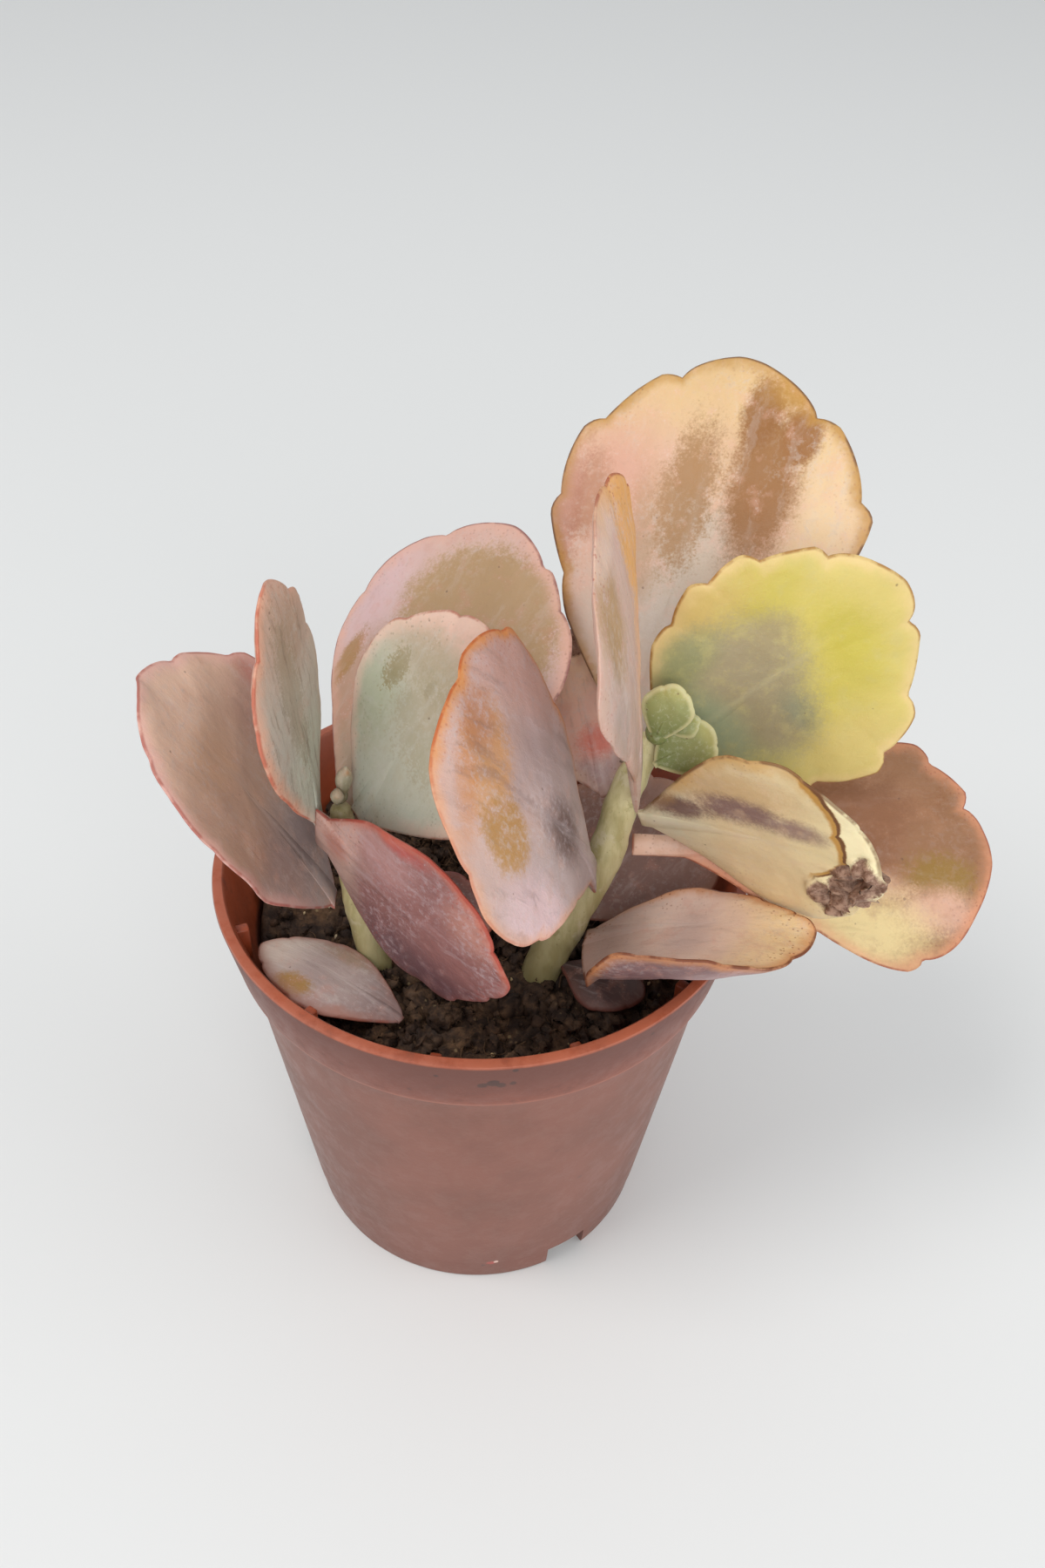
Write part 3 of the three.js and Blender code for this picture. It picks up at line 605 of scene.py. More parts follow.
# colours: the stalk's end, the body, the tip, the lower face, the margin's glow and the rim's line.
LEAF_LOOKS = {
    "leaf_right_back": dict(
        slot="leaf_peach", colours=("c2b5a8", "d4ae98", "d9b785", "cfa78c", "b98a42", "5d3f30"), bloom=0.35,
        bloom_colour="d9cfc8", freckles=0.22, freckle_colour="a0594a", streaks=0.05, streak_colour="9c7458",
        warm="e3b3a0",
        blotches=[
            (0.0, 0.36, 0.7, 0.16, "c9bcb0", 0.9, 0.8), (0.02, 0.54, 0.4, 0.14, "ccbdac", 0.85, 0.5, 1.2),
            (0.85, 0.62, 0.3, 0.3, "e8cda2", 0.7, 0.8), (-0.6, 0.66, 0.34, 0.2, "d29c88", 0.75, 0.8),
            (0.39, 0.73, 0.26, 0.24, "94632f", 0.92, 0.5, 0.6),
            (0.26, 0.9, 0.14, 0.1, "915f2a", 0.92, 0.4, 0.5),
            (0.56, 0.86, 0.14, 0.08, "986532", 0.95, 0.4, 0.5),
            (-0.08, 0.66, 0.2, 0.2, "a2784a", 0.88, 0.5, 0.9), (-0.32, 0.52, 0.2, 0.2, "b08660", 0.6, 0.6),
            (0.5, 0.97, 0.3, 0.06, "b8893c", 0.8, 0.8), (-0.72, 0.62, 0.12, 0.12, "a87452", 0.6, 0.5),
            (-0.88, 0.5, 0.14, 0.3, "b07660", 0.6, 0.5)]),
    "leaf_right_yellow": dict(
        slot="leaf_yellow", colours=("98a07c", "c6b854", "d2c070", "cdbd7c", "dfc48a", "9c6e36"), bloom=0.06,
        bloom_colour="e0d8ae", band=0.9, rim_strength=0.9, streaks=0.0, streak_colour="c3ad45", warm="c6ba7c",
        blotches=[
            (0.9, 0.5, 0.45, 0.3, "cfba74", 0.85, 0.8), (-0.8, 0.35, 0.3, 0.35, "cdb170", 0.8, 0.7),
            (0.1, 0.78, 0.4, 0.13, "c0b440", 0.7, 0.8), (0.05, 0.3, 0.62, 0.26, "a3a88c", 0.7, 0.8),
            (-0.16, 0.42, 0.48, 0.24, "a29578", 0.95, 0.6, 0.35),
            (-0.55, 0.28, 0.2, 0.14, "8c9068", 0.8, 0.8, 0.3),
            (0.33, 0.38, 0.34, 0.17, "9c9072", 0.95, 0.7, 0.35),
            (-0.3, 0.58, 0.16, 0.1, "a3946e", 0.8, 0.8, 0.4),
            (0.36, 0.46, 0.2, 0.06, "868b72", 0.6, 0.9, 0.5),
            (0.1, 0.16, 0.4, 0.12, "9aa587", 0.9, 0.8, 0.3)]),
    "leaf_right_upright": dict(
        slot="leaf_mauve", colours=("a18c7c", "bfa299", "d0b1a4", "c8a598", "e0a662", "9a4a38"), bloom=0.5,
        bloom_colour="d6c8c4", band=1.5, freckles=0.6, freckle_colour="a04a3c", streaks=0.15,
        sides=(0.12, 1.0), warm="d09c8c",
        blotches=[
            (-0.4, 0.84, 0.34, 0.18, "ad8a66", 0.9, 0.6), (0.75, 0.72, 0.5, 0.36, "dfa662", 0.95, 0.4),
            (0.35, 0.42, 0.45, 0.2, "e0b092", 0.85, 0.6), (-0.75, 0.5, 0.3, 0.3, "ab9994", 0.7, 0.7),
            (0.05, 0.97, 0.5, 0.06, "dcc0b0", 0.85, 0.6)]),
    "leaf_centre_front": dict(
        slot="leaf_mauve", colours=("a09090", "b5a3a2", "d0b0a4", "b08d86", "dd923e", "b4521f"), bloom=0.45,
        bloom_colour="d0c6ca", band=0.75, freckles=0.3, freckle_colour="a5482c", streaks=0.4,
        streak_colour="86726f", warm="cba292", sides=(0.55, 1.0),
        blotches=[
            (0.9, 0.7, 0.35, 0.3, "d0aba2", 0.8, 0.7), (-0.72, 0.58, 0.34, 0.22, "dcbfc2", 0.95, 0.7),
            (0.14, 0.84, 0.42, 0.1, "cf9e70", 0.95, 0.4, 0.5),
            (-0.26, 0.77, 0.26, 0.1, "b58a54", 0.95, 0.4, 0.5), (0.4, 0.88, 0.22, 0.07, "c58f70", 0.75, 0.6),
            # The blotch 5f4a48, dark in the middle of the leaf, is painted shade.
            (0.0, 0.92, 0.5, 0.04, "c88a5a", 0.6, 0.7), (0.0, 0.44, 0.24, 0.14, "5f4a48", 0.95, 0.8)]),
    "leaf_right_folded": dict(
        slot="leaf_cream", colours=("cbc2a6", "dcc69c", "e2cf9e", "cdb283", "c79d5c", "6a4426"), bloom=0.15,
        band=0.9, freckles=0.25, streaks=0.08, streak_colour="b39a6c", warm="dcbc98", sides=(1.0, 0.15),
        fold=(4.3, 4.1, 0.4, "f0e2b6"),
        dry=((0.56, 0.77, 0.24, 0.09, 1.6), (0.3, 0.88, 0.3, 0.1, 1.8), (0.04, 0.96, 0.22, 0.07, 1.6)),
        blotches=[
            (-0.62, 0.4, 0.3, 0.35, "c6a577", 0.8, 0.7), (-0.26, 0.18, 0.15, 0.16, "6e524b", 0.95, 0.6),
            (-0.36, 0.44, 0.2, 0.2, "80635e", 0.95, 0.6), (-0.28, 0.68, 0.14, 0.15, "8a6d66", 0.9, 0.7)]),
    "leaf_right_far": dict(
        slot="leaf_tan", colours=("d8b4a0", "a3795a", "8c6242", "c69a7e", "cf8f6c", "8e4634"), bloom=0.1,
        band=1.0, streaks=0.1, streak_colour="6e4c38", warm="a87a5c", freckles=0.3,
        blotches=[
            (0.1, 0.27, 0.6, 0.16, "c88e78", 0.7, 0.7), (-0.25, 0.6, 0.55, 0.28, "84593d", 0.95, 0.5, 0.4),
            (-0.1, 0.88, 0.34, 0.12, "90684a", 0.9, 0.5), (0.24, 0.88, 0.3, 0.13, "8e6e34", 0.95, 0.5, 0.6),
            (0.5, 0.88, 0.24, 0.14, "d2a690", 0.9, 0.6), (0.3, 0.66, 0.16, 0.14, "c9a184", 0.8, 0.6),
            (0.75, 0.58, 0.46, 0.3, "e2cc96", 0.98, 0.6, 0.3)]),
    "leaf_right_rim": dict(
        slot="leaf_mauve", colours=("b0948a", "dcbfb0", "e8cc9e", "745454", "c4824e", "6e3a24"), bloom=0.25,
        freckles=0.7, freckle_colour="8e4a2c", streaks=0.15, streak_colour="6a4c4c", rim_strength=0.95,
        low_blotches=[
            (0.7, 0.3, 0.6, 0.3, "5e4446", 0.8, 0.8), (0.9, 0.75, 0.3, 0.25, "b08f8e", 0.7, 0.7)],
        blotches=[
            (0.2, 0.5, 0.5, 0.12, "b79c96", 0.6, 0.8)]),
    "leaf_right_inner": dict(
        slot="leaf_dark", colours=("7d5c54", "8c6e66", "a5857a", "7a5f58", "a57d66", "7d4a38"), bloom=0.35,
        streaks=0.2),
    "leaf_centre_back": dict(
        slot="leaf_peach", colours=("b59a94", "dcae9c", "e6c7a2", "c49a88", "d7ad84", "8f5a48"), freckles=0.3,
        dry=((0.0, 0.95, 0.5, 0.12, 1.2),),
        blotches=[
            (0.05, 0.3, 0.3, 0.12, "d07464", 0.9, 0.7), (0.0, 0.1, 0.8, 0.12, "a88e8e", 0.7, 0.8)]),
    "leaf_left_outer": dict(
        slot="leaf_mauve", colours=("a69593", "bf9c88", "e6c2aa", "a58c84", "dfb0a6", "a4584e"), bloom=0.35,
        bloom_colour="cfc3c1", streaks=0.2, streak_colour="8a7066", warm="cf9f88",
        blotches=[
            (-0.1, 0.3, 0.9, 0.14, "94827e", 0.7, 0.8), (0.4, 0.2, 0.5, 0.1, "857270", 0.7, 0.5, 1.2),
            (0.8, 0.5, 0.4, 0.25, "a88078", 0.8, 0.8), (1.0, 0.63, 0.16, 0.3, "bb766c", 0.7, 0.8),
            (-0.1, 0.68, 0.4, 0.12, "c39a7c", 0.7, 0.8), (-0.5, 0.5, 0.5, 0.14, "bd9a84", 0.6, 0.8)]),
    "leaf_left_upright": dict(
        slot="leaf_green", colours=("c4c6b8", "bfb8ac", "c4a694", "a0928a", "e3ab8e", "b85a42"), bloom=0.4,
        bloom_colour="c9c9c0", band=1.0, freckles=0.3, streaks=0.55, streak_colour="7c6856", warm="bd9a86",
        sides=(1.0, 0.25),
        blotches=[
            (0.2, 0.8, 0.5, 0.14, "a8907c", 0.7, 0.8), (0.0, 0.3, 0.8, 0.2, "c2c7b7", 0.85, 0.8),
            (-0.1, 0.62, 0.3, 0.3, "9a8a70", 0.5, 0.3, 1.6)]),
    "leaf_left_back": dict(
        slot="leaf_mauve", colours=("a3907c", "ccaea6", "d4b0a2", "b59086", "dcab98", "7d4a4c"),
        bloom_colour="d8c8c6", band=0.9, freckles=0.2, streaks=0.08, streak_colour="917258",
        blotches=[
            (-0.8, 0.65, 0.3, 0.25, "d4b3b4", 0.8, 0.8), (0.2, 0.7, 0.74, 0.26, "ae8e62", 0.88, 0.2, 0.3),
            (-0.45, 0.36, 0.3, 0.2, "b08c72", 0.8, 0.6), (-0.7, 0.4, 0.08, 0.12, "a07840", 0.8, 0.4)]),
    "leaf_left_green": dict(
        slot="leaf_green", colours=("c0c5b6", "bab8a6", "dcb8a4", "a0988a", "e4c1ae", "a8624a"), bloom=0.35,
        bloom_colour="cfcec6", band=1.0, freckles=0.3, freckle_colour="6a6040", streaks=0.12,
        streak_colour="857c5c", warm="b3a488",
        blotches=[
            (-0.6, 0.4, 0.4, 0.25, "b2b89e", 0.85, 0.8), (-0.5, 0.6, 0.12, 0.1, "8a7a4c", 0.7, 0.3, 1.4),
            (-0.07, 0.67, 0.05, 0.04, "7c6a40", 0.85, 0.3, 0.8), (0.0, 0.74, 0.8, 0.14, "b0a48a", 0.75, 0.7),
            (0.2, 0.56, 0.5, 0.2, "ada288", 0.6, 0.3, 1.5), (0.3, 0.9, 0.14, 0.05, "b8905a", 0.7, 0.5),
            (-0.1, 0.95, 0.7, 0.07, "deb9a8", 0.85, 0.6)]),
    "leaf_left_front": dict(
        slot="leaf_dark", colours=("b09488", "6f5252", "85605a", "8b5f5b", "bb6650", "a23f30"), bloom=0.4,
        bloom_colour="c8b6ba", band=0.55, streak_colour="64464a", freckles=0.4, freckle_colour="a03a34",
        warm="ad7c76", sides=(0.2, 1.0),
        low_blotches=[
            (-0.8, 0.6, 0.45, 0.45, "64464a", 0.9, 0.8), (0.5, 0.36, 0.4, 0.2, "b48884", 0.8, 0.8),
            (0.4, 0.1, 0.7, 0.14, "dbb3a6", 0.9, 0.7), (0.5, 0.85, 0.4, 0.16, "b58072", 0.8, 0.8),
            (0.05, 0.12, 0.2, 0.07, "b07464", 0.8, 0.6), (0.85, 0.45, 0.12, 0.16, "b2473c", 0.7, 0.7)]),
    "leaf_left_low": dict(
        slot="leaf_dark", colours=("6d5754", "6a504e", "8a6660", "6a504e", "9c5a4a", "8a3c30")),
    "leaf_fallen_left": dict(
        slot="leaf_mauve", colours=("8a7472", "b09d98", "d2c2b4", "8a7068", "b07c6c", "8a4a38"), bloom=0.45,
        streaks=0.2,
        blotches=[
            (-0.7, 0.64, 0.3, 0.14, "a8803e", 0.9, 0.5), (0.7, 0.5, 0.3, 0.2, "977a5c", 0.6, 0.7)]),
    "leaf_fallen_right": dict(
        slot="leaf_dark", colours=("4c3a38", "604a48", "705854", "4c3a38", "7a564c", "6a3a30"), band=0.6),
}

# Dirt and scuffs on the front of the pot: across, height and size in millimetres, and colour.
POT_MARKS = [(0.4, 45.7, 0.5, "2e1f1a"), (1.4, 46.1, 0.6, "2a1b16"), (2.1, 45.7, 0.5, "2e1f1a"),
             (3.2, 45.9, 0.35, "33231d"), (1.8, 3.5, 0.6, "a8433a"), (2.3, 3.9, 0.3, "d9b8ac"),
             (11, 20, 0.35, "6a4034")]
INSIDE_CONE = 18.9  # the radius, at height 0, of the cone that parts the collar's inside from its outside


def plastic_look():
    look = Look("pot_plastic")
    x, y, z = look.place_parts()
    dust = look.noise(90, 5, 0.65)
    haze = look.noise(420, 4, 0.7)
    fine = look.noise(2200, 3)
    look.start(dust, 0.35, 0.7, "804c3c", "734333")
    look.tint(haze, 0.5, 0.72, 0.2, "937069")
    # Darker towards the bottom.
    look.lay(look.ramp(z, 0.0, 16 * MM, 0.4, 0.0), "6c3c2f")
    # Painted shade over the collar, from its foot up to the lip.
    look.tint(z, (COLLAR_FOOT - 0.3) * MM, (COLLAR_FOOT + 1.2) * MM, 0.8, "5c3026")
    # Painted highlight: a thin lighter line along the moulded seam at the collar's foot.
    from_seam_highlight = look.math("ABSOLUTE", look.minus(z, (COLLAR_FOOT + 0.2) * MM))
    look.lay(look.times(look.ramp(from_seam_highlight, 0.3 * MM, 0.1 * MM), 0.4), "a87a6c")
    speck = look.times(look.spots(260, 0.1), look.ramp(dust, 0.5, 0.6))
    look.lay(look.times(speck, 0.8), "3a2620")
    front = look.ramp(y, 0.0, -1 * MM)
    for mark_x, mark_z, size, shade in POT_MARKS:
        far = look.distance(look.minus(x, mark_x * MM), look.minus(z, mark_z * MM))
        torn = look.jittered(far, haze, 2 * size * MM)
        mark = look.times(look.ramp(torn, size * MM, 0.6 * size * MM, 0.0, 0.85), front)
        look.lay(mark, shade)
    outside = look.paint
    look.start(dust, 0.35, 0.7, "a64f2e", "8c4126")
    look.tint(haze, 0.56, 0.7, 0.5, "5e3a2a")
    lip = look.ramp(z, (POT_HEIGHT - 0.45) * MM, (POT_HEIGHT - 0.2) * MM)
    taper = look.times(z, (RIM_RADIUS - COLLAR_FOOT_RADIUS) / (POT_HEIGHT - COLLAR_FOOT))
    depth = look.minus(look.plus(taper, INSIDE_CONE * MM), look.distance(x, y))
    within = look.ramp(depth, -0.3 * MM, 0.1 * MM)
    high = look.ramp(z, (SOIL_LEVEL - 1) * MM, SOIL_LEVEL * MM)
    look.paint = look.mix(look.math("MAXIMUM", lip, look.times(within, high)), outside, look.paint)
    look.lay(look.times(lip, look.ramp(haze, 0.42, 0.6, 0.45, 0.1)), "b46a50")
    look.bump(look.plus(fine, look.times(haze, 0.6)), 0.03 * MM, 0.5)
    return look.finish(look.ramp(haze, 0.3, 0.7, 0.34, 0.5), 0.03, 0.6)


def soil_look(name, dark, light, fleck):
    look = Look(name)
    coarse = look.noise(500, 6, 0.7)
    broad = look.noise(160, 3)
    look.start(coarse, 0.38, 0.72, dark, light)
    look.tint(broad, 0.42, 0.6, 0.5, dark)
    look.lay(look.times(look.spots(900, 0.2), look.ramp(broad, 0.55, 0.45), 0.6), fleck)
    look.bump(coarse, 0.4 * MM, 0.9)
    return look.finish(look.ramp(broad, 0.4, 0.6, 0.95, 0.7))


def stem_look():
    look = Look("stem_skin")
    drawn_out = look.node("ShaderNodeMapping", {"Vector": look.place(), "Scale": (1, 1, 0.16)}).outputs[0]
    lines = look.noise(900, 4, 0.6, drawn_out)
    marks = look.noise(300, 5, 0.7)
    fine = look.noise(2400, 3, 0.7)
    height = look.place_parts()[2]
    look.start(lines, 0.35, 0.7, "c6bd92", "a99f70")
    look.tint(marks, 0.44, 0.34, 0.6, "cdc3a6")
    look.tint(marks, 0.6, 0.7, 0.6, "8c8350")
    look.tint(fine, 0.62, 0.72, 0.4, "7a6c44")
    # Darker from the rim's height down to the soil.
    look.tint(height, 49 * MM, 41 * MM, 0.75, "84784e")
    look.bump(look.plus(lines, look.times(fine, 0.4)), 0.12 * MM, 0.5)
    return look.finish(look.ramp(marks, 0.4, 0.6, 0.42, 0.6), 0.15)


def bud_look(name, body, deep, margin, tip):
    look = Look(name)
    edge = look.attribute("from_margin")
    along = look.attribute("along")
    wide = look.noise(400, 4, 0.6)
    fine = look.noise(2600, 3, 0.7)
    look.start(along, 0.15, 0.8, deep, body)
    look.tint(wide, 0.5, 0.7, 0.5, deep)
    look.tint(along, 0.72, 0.95, 0.7, tip)
    look.tint(edge, 0.5, 0.1, 0.85, margin)
    look.tint(fine, 0.5, 0.7, 0.25, "d6d8c4")
    look.lay(look.times(look.spots(900, 0.12), 0.5), "6a3a34")
    look.bump(look.plus(wide, look.times(fine, 0.3)), 0.1 * MM, 0.5)
    return look.finish(look.ramp(wide, 0.4, 0.6, 0.4, 0.52), 0.15)


# ---- Pot ----


def body_inner(height):
    return BASE_RADIUS + (BODY_TOP_RADIUS - BASE_RADIUS) / COLLAR_FOOT * height - WALL


def pot_profile():
    """(radius, height) from the underside's middle, up the outside, over the rim and down to the floor."""
    foot_radius, foot_top = BASE_RADIUS + 2 * FOOT_STEP, FOOT_HEIGHT + FOOT_STEP
    collar_low, lip_inner = COLLAR_FOOT - COLLAR_ROUND, RIM_RADIUS - LIP_WIDTH
    wall = [(foot_radius + (BODY_TOP_RADIUS - foot_radius) * i / WALL_STEPS,
             foot_top + (collar_low - foot_top) * i / WALL_STEPS) for i in range(WALL_STEPS + 1)]
    return [
        (0, 0), (BASE_RADIUS - FOOT_ROUND, 0), (BASE_RADIUS - 0.12, 0.12), (BASE_RADIUS, FOOT_ROUND),
        (BASE_RADIUS + FOOT_STEP, FOOT_HEIGHT), *wall,
        (BODY_TOP_RADIUS + 0.15, COLLAR_FOOT - 0.15), (COLLAR_FOOT_RADIUS - COLLAR_ROUND, COLLAR_FOOT),
        (COLLAR_FOOT_RADIUS - 0.1, COLLAR_FOOT + 0.12), (COLLAR_FOOT_RADIUS, COLLAR_FOOT + COLLAR_ROUND),
        (RIM_RADIUS, POT_HEIGHT - LIP_ROUND), (RIM_RADIUS - 0.1, POT_HEIGHT - 0.1),
        (RIM_RADIUS - LIP_ROUND, POT_HEIGHT), (lip_inner + 0.2, POT_HEIGHT), (lip_inner, POT_HEIGHT - 0.2),
        (COLLAR_FOOT_RADIUS - WALL, COLLAR_FOOT + 2.2), (body_inner(COLLAR_FOOT - 1), COLLAR_FOOT - 1),
        (body_inner(FLOOR + FOOT_ROUND), FLOOR + FOOT_ROUND), (body_inner(FLOOR) - FOOT_ROUND, FLOOR),
        (0, FLOOR),
    ]


def cut_drains(pot):
    """Cuts the drain notches with boxes that reach a millimetre past the wall and the underside."""
    depth, height, beyond = DRAINS["depth"], DRAINS["height"], 1
    cutters = boxes_round(DRAINS, BASE_RADIUS - (depth - beyond) / 2, (height - beyond) / 2,
                          (depth + beyond, DRAINS["width"], height + beyond))
    cutter = new_object("drain_cutter", cutters, smooth=False)
    cut = pot.modifiers.new("drains", "BOOLEAN")
    cut.object = cutter
    cut.solver = "EXACT"
    shaped = bpy.data.meshes.new_from_object(pot.evaluated_get(bpy.context.evaluated_depsgraph_get()))
    pot.modifiers.clear()
    pot.data = shaped
    bpy.data.objects.remove(cutter)
    shaped.set_sharp_from_angle(angle=math.radians(SHARP_ANGLE))


def build_pot():
    plastic = plastic_look()
    bm = bmesh.new()
    lathe(bm, pot_profile(), POT_SEGMENTS)
    pot = new_object("pot_shell", bm, plastic)
    cut_drains(pot)
    foot, top, depth = RIBS["foot"], RIBS["top"], RIBS["depth"]
    ribs = boxes_round(RIBS, COLLAR_FOOT_RADIUS - WALL + depth / 4, (foot + top) / 2,
                       (depth, RIBS["width"], top - foot))
    bmesh.ops.bevel(ribs, geom=ribs.edges[:], offset=RIB_ROUND * MM, segments=2, affect="EDGES", profile=0.5,
                    material=-1)
    rib = new_object("pot_ribs", ribs, plastic)
    for thing in (pot, rib):
        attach(thing, "root")
    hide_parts("pot")


# ---- Soil ----

SOIL_EDGE = body_inner(SOIL_LEVEL - 1) - 0.3
FIBRE_STEPS, FIBRE_STEP, FIBRE_SEGMENTS = 8, 0.5, 6


def soil_height(x, y):
    broad = math.sin(0.55 * x + 1) * math.cos(0.5 * y - 0.6)
    crumbs = noise.fractal(Vector((x, y, 3)) * 0.7, 0.7, 2.1, 6)
    return SOIL_LEVEL + 0.27 * broad + 0.7 * crumbs


def scatter(reach):
    """A random place on the soil, in millimetres, within this share of its radius."""
    radius = SOIL_EDGE * reach * math.sqrt(rng.random())
    bearing = rng.uniform(0, 2 * math.pi)
    return radius * math.cos(bearing), radius * math.sin(bearing)


def add_lump(bm, x, y, size, lift, torn, finer):
    """One torn crumb that rests on the soil. lift raises its middle, in sizes."""
    place = Matrix.Translation(Vector((x, y, soil_height(x, y) + size * lift)) * MM)
    turn = Euler([rng.uniform(0, 2 * math.pi) for _ in range(3)]).to_matrix().to_4x4()
    stretch = Matrix.Diagonal((rng.uniform(0.7, 1.4), rng.uniform(0.7, 1.2), rng.uniform(0.5, 1), 1))
    made = bmesh.ops.create_icosphere(bm, subdivisions=3 if size > 0.7 else 2, radius=size * MM,
                                      matrix=place @ turn @ stretch)
    for vert in made["verts"]:
        vert.co += noise.noise_vector(vert.co / MM * finer / size ** 0.5) * size * torn * MM


def crumb_size():
    return rng.choice((0.25, 0.35, 0.5, 0.7, 1.0, 1.3)) * rng.uniform(0.7, 1.3)


def build_lumps(name, look, count, reach, size, lift, torn, finer=2.2):
    """Lumps scattered on the soil. size draws the size of each."""
    bm = bmesh.new()
    for _ in range(count):
        add_lump(bm, *scatter(reach), size(), lift, torn, finer)
    return new_object(name, bm, look)


def build_fibres(count):
    bm = bmesh.new()
    for _ in range(count):
        heading = rng.uniform(0, 2 * math.pi)
        turn = rng.uniform(-0.5, 0.5)
        thick = rng.choice((0.05, 0.07, 0.1))
        x, y = scatter(0.85)
        path = []
        for k in range(FIBRE_STEPS):
            along = spoke(heading)
            x, y = x + along.x * FIBRE_STEP, y + along.y * FIBRE_STEP
            if math.hypot(x, y) > SOIL_EDGE:
                break
            path.append((Vector((x, y, soil_height(x, y) + 0.35 + 0.3 * math.sin(k))), along, thick))
            heading += turn
        if len(path) > 2:
            add_tube_along(bm, path, FIBRE_SEGMENTS)
    return new_object("soil_fibres", bm, soil_look("fibre", "4a3524", "7d6145", "3a281b"))


def build_soil():
    bm = bmesh.new()
    points = [(0, 2), (17, 2), (SOIL_EDGE, SOIL_LEVEL - 1)]
    points += [(SOIL_EDGE * (1 - i / SOIL_RINGS), SOIL_LEVEL) for i in range(1, SOIL_RINGS + 1)]
    lathe(bm, points, SOIL_SEGMENTS)
    for vert in bm.verts:
        x, y, z = vert.co / MM
        if z > SOIL_LEVEL - 0.5:
            vert.co.z = soil_height(x, y) * MM
    peat = soil_look("peat", "2b1d16", "73573f", "94805f")
    soil = new_object("soil_bed", bm, peat)
    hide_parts("soil")
    lumps = build_lumps("soil_crumbs", peat, 760, 0.98, crumb_size, 0.15, 0.5)
    bark = build_lumps("soil_chips", soil_look("bark", "33231a", "6a4f3a", "8f7554"), 130, 0.95,
                       lambda: rng.uniform(0.4, 0.9), 0.35, 0.6)
    grains = build_lumps("soil_grit", soil_look("grit", "b39a6c", "d3c6ad", "8a765c"), 70, 0.95,
                         lambda: rng.uniform(0.12, 0.28), 1.2, 0.4, 3.0)
    roots = build_fibres(130)
    for thing in (soil, lumps, bark, grains, roots):
        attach(thing, "root")


# ---- Plant ----


def build_stems():
    look = stem_look()
    for name, stem in STEMS.items():
        bm = bmesh.new()
        add_tube_along(bm, stem_points(stem), STEM_SEGMENTS, STEM_BUMPS)
        thing = new_object(name + "_skin", bm, look)
        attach(thing, "root")
        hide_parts(name)


def build_leaves():
    for count, (name, leaf) in enumerate(LEAVES.items()):
        settings = dict(LEAF_LOOKS[name])
        slot = settings.pop("slot")
        bm = bmesh.new()
        add_leaf(bm, {**PLAIN_LEAF, **leaf, "dry": settings.get("dry", ())}, **LEAF_MESH, seed=1.7 * count)
        blade = new_object(name + "_blade", bm, leaf_look(name + "_skin", count, **settings))
        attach(blade, "root")
        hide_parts(name)


BUD_LEAF = {**PLAIN_LEAF, "widest": 0.6, "curl": 12, "cup": 25, "left": (30, 60), "right": (30, 60)}
# look holds the colours of the body, the hollows, the margin and the tips.
BUDS = {
    "bud_right": dict(
        core=(16.2, -4.3, 68.9), radius=1.2, look=("9ca068", "7c8450", "d2cc9c", "b8b26c"),
        leaves=[
            dict(base=(15.9, -5.9, 66.2), heading=8, rise=36, roll=-55, length=6.4, width=6.4),
            dict(base=(15.9, -5.2, 68.4), heading=30, rise=74, roll=-46, length=6.2, width=4.8),
            dict(base=(17, -4.9, 69.3), heading=5, rise=25, roll=-50, length=3.2, width=2.6),
        ]),
    "bud_left": dict(
        core=(-13.5, -5, 61.2), radius=0.8, look=("a09880", "8c8468", "b8a892", "c08654"),
        leaves=[
            dict(base=(-13.2, -5.2, 61), heading=60, rise=76, roll=-60, length=3.4, width=1.6),
            dict(base=(-13.7, -5.5, 60.9), heading=-80, rise=70, roll=10, length=2, width=1.2),
        ]),
}
CORE_MARGIN = 5  # keeps the margin's colour off a bud's core


def build_buds():
    for name, bud in BUDS.items():
        bm = bmesh.new()
        for leaf in bud["leaves"]:
            add_leaf(bm, {**BUD_LEAF, **leaf}, **BUD_MESH)
        layer = bm.verts.layers.float["from_margin"]
        place = Matrix.Translation(Vector(bud["core"]) * MM)
        made = bmesh.ops.create_uvsphere(bm, u_segments=32, v_segments=20, radius=bud["radius"] * MM,
                                         matrix=place)
        for vert in made["verts"]:
            vert[layer] = CORE_MARGIN
        thing = new_object(name + "_tips", bm, bud_look(name + "_skin", *bud["look"]))
        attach(thing, "root")
        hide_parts(name)


# ---- Table, light and camera, in metres and degrees ----

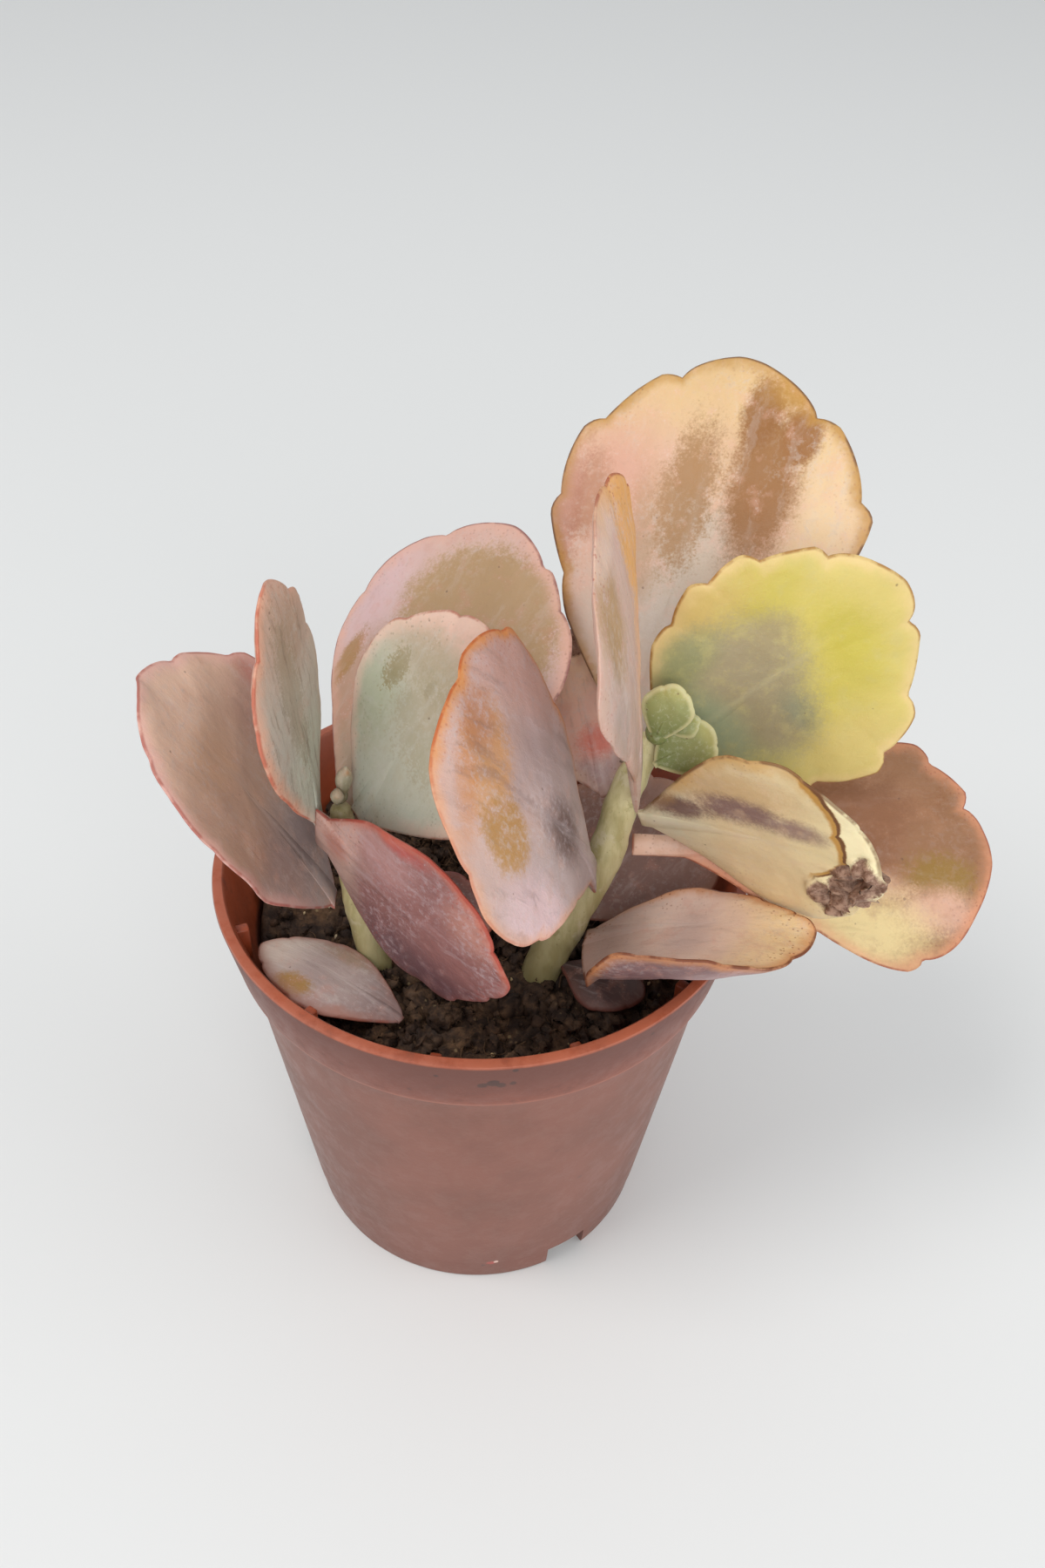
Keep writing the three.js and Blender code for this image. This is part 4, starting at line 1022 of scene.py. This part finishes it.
TABLE_HALF = 3
LIGHT_TARGET = (0, 0, 0.05)
LIGHTS = {
    "window": dict(place=(-0.5, -0.25, 1.0), size=0.5, power=4.2, tint=(1.0, 0.975, 0.945)),
    "front": dict(place=(0.15, -0.9, 0.42), size=0.9, power=4.7, tint=(1.0, 0.99, 0.98)),
    "right": dict(place=(0.75, -0.2, 0.5), size=0.7, power=1.3, tint=(1.0, 0.995, 0.99)),
}
ROOM_TINT, ROOM_STRENGTH = (0.975, 0.985, 1.0, 1), 0.6
CAMERA = dict(place=(0, -0.1045, 0.1492), heading=87.8, rise=-40.9, roll=2.2, sensor=36, lens=32, clip=0.005)


def build_table():
    bm = bmesh.new()
    bmesh.ops.create_grid(bm, x_segments=1, y_segments=1, size=TABLE_HALF)
    look = Look("table")
    look.paint = colour("e4e6e6")
    table = new_object("table", bm, look.finish(0.55), False)


def add_light(name, place, size, power, tint):
    data = bpy.data.lights.new(name, "AREA")
    data.shape = "DISK"
    data.size = size
    data.energy = power
    data.color = tint
    light = bpy.data.objects.new(name, data)
    light.location = place
    light.rotation_euler = (Vector(LIGHT_TARGET) - Vector(place)).to_track_quat("-Z", "Y").to_euler()
    bpy.context.scene.collection.objects.link(light)


def build_light():
    world = bpy.data.worlds.new("room")
    world.use_nodes = True
    background = world.node_tree.nodes["Background"]
    background.inputs["Color"].default_value = ROOM_TINT
    background.inputs["Strength"].default_value = ROOM_STRENGTH
    bpy.context.scene.world = world
    for name, light in LIGHTS.items():
        add_light(name, **light)


def build_camera():
    ahead, right, up = axes(CAMERA)
    turn = Matrix((right, up, -ahead)).transposed().to_4x4()
    data = bpy.data.cameras.new("camera")
    data.sensor_width = CAMERA["sensor"]
    data.lens = CAMERA["lens"]
    data.clip_start = CAMERA["clip"]
    camera = bpy.data.objects.new("camera", data)
    camera.matrix_world = Matrix.Translation(Vector(CAMERA["place"])) @ turn
    bpy.context.scene.collection.objects.link(camera)
    bpy.context.scene.camera = camera


build_pot()
build_soil()
build_stems()
build_leaves()
build_buds()
build_table()
build_light()
build_camera()
bpy.context.scene.view_settings.view_transform = "Standard"
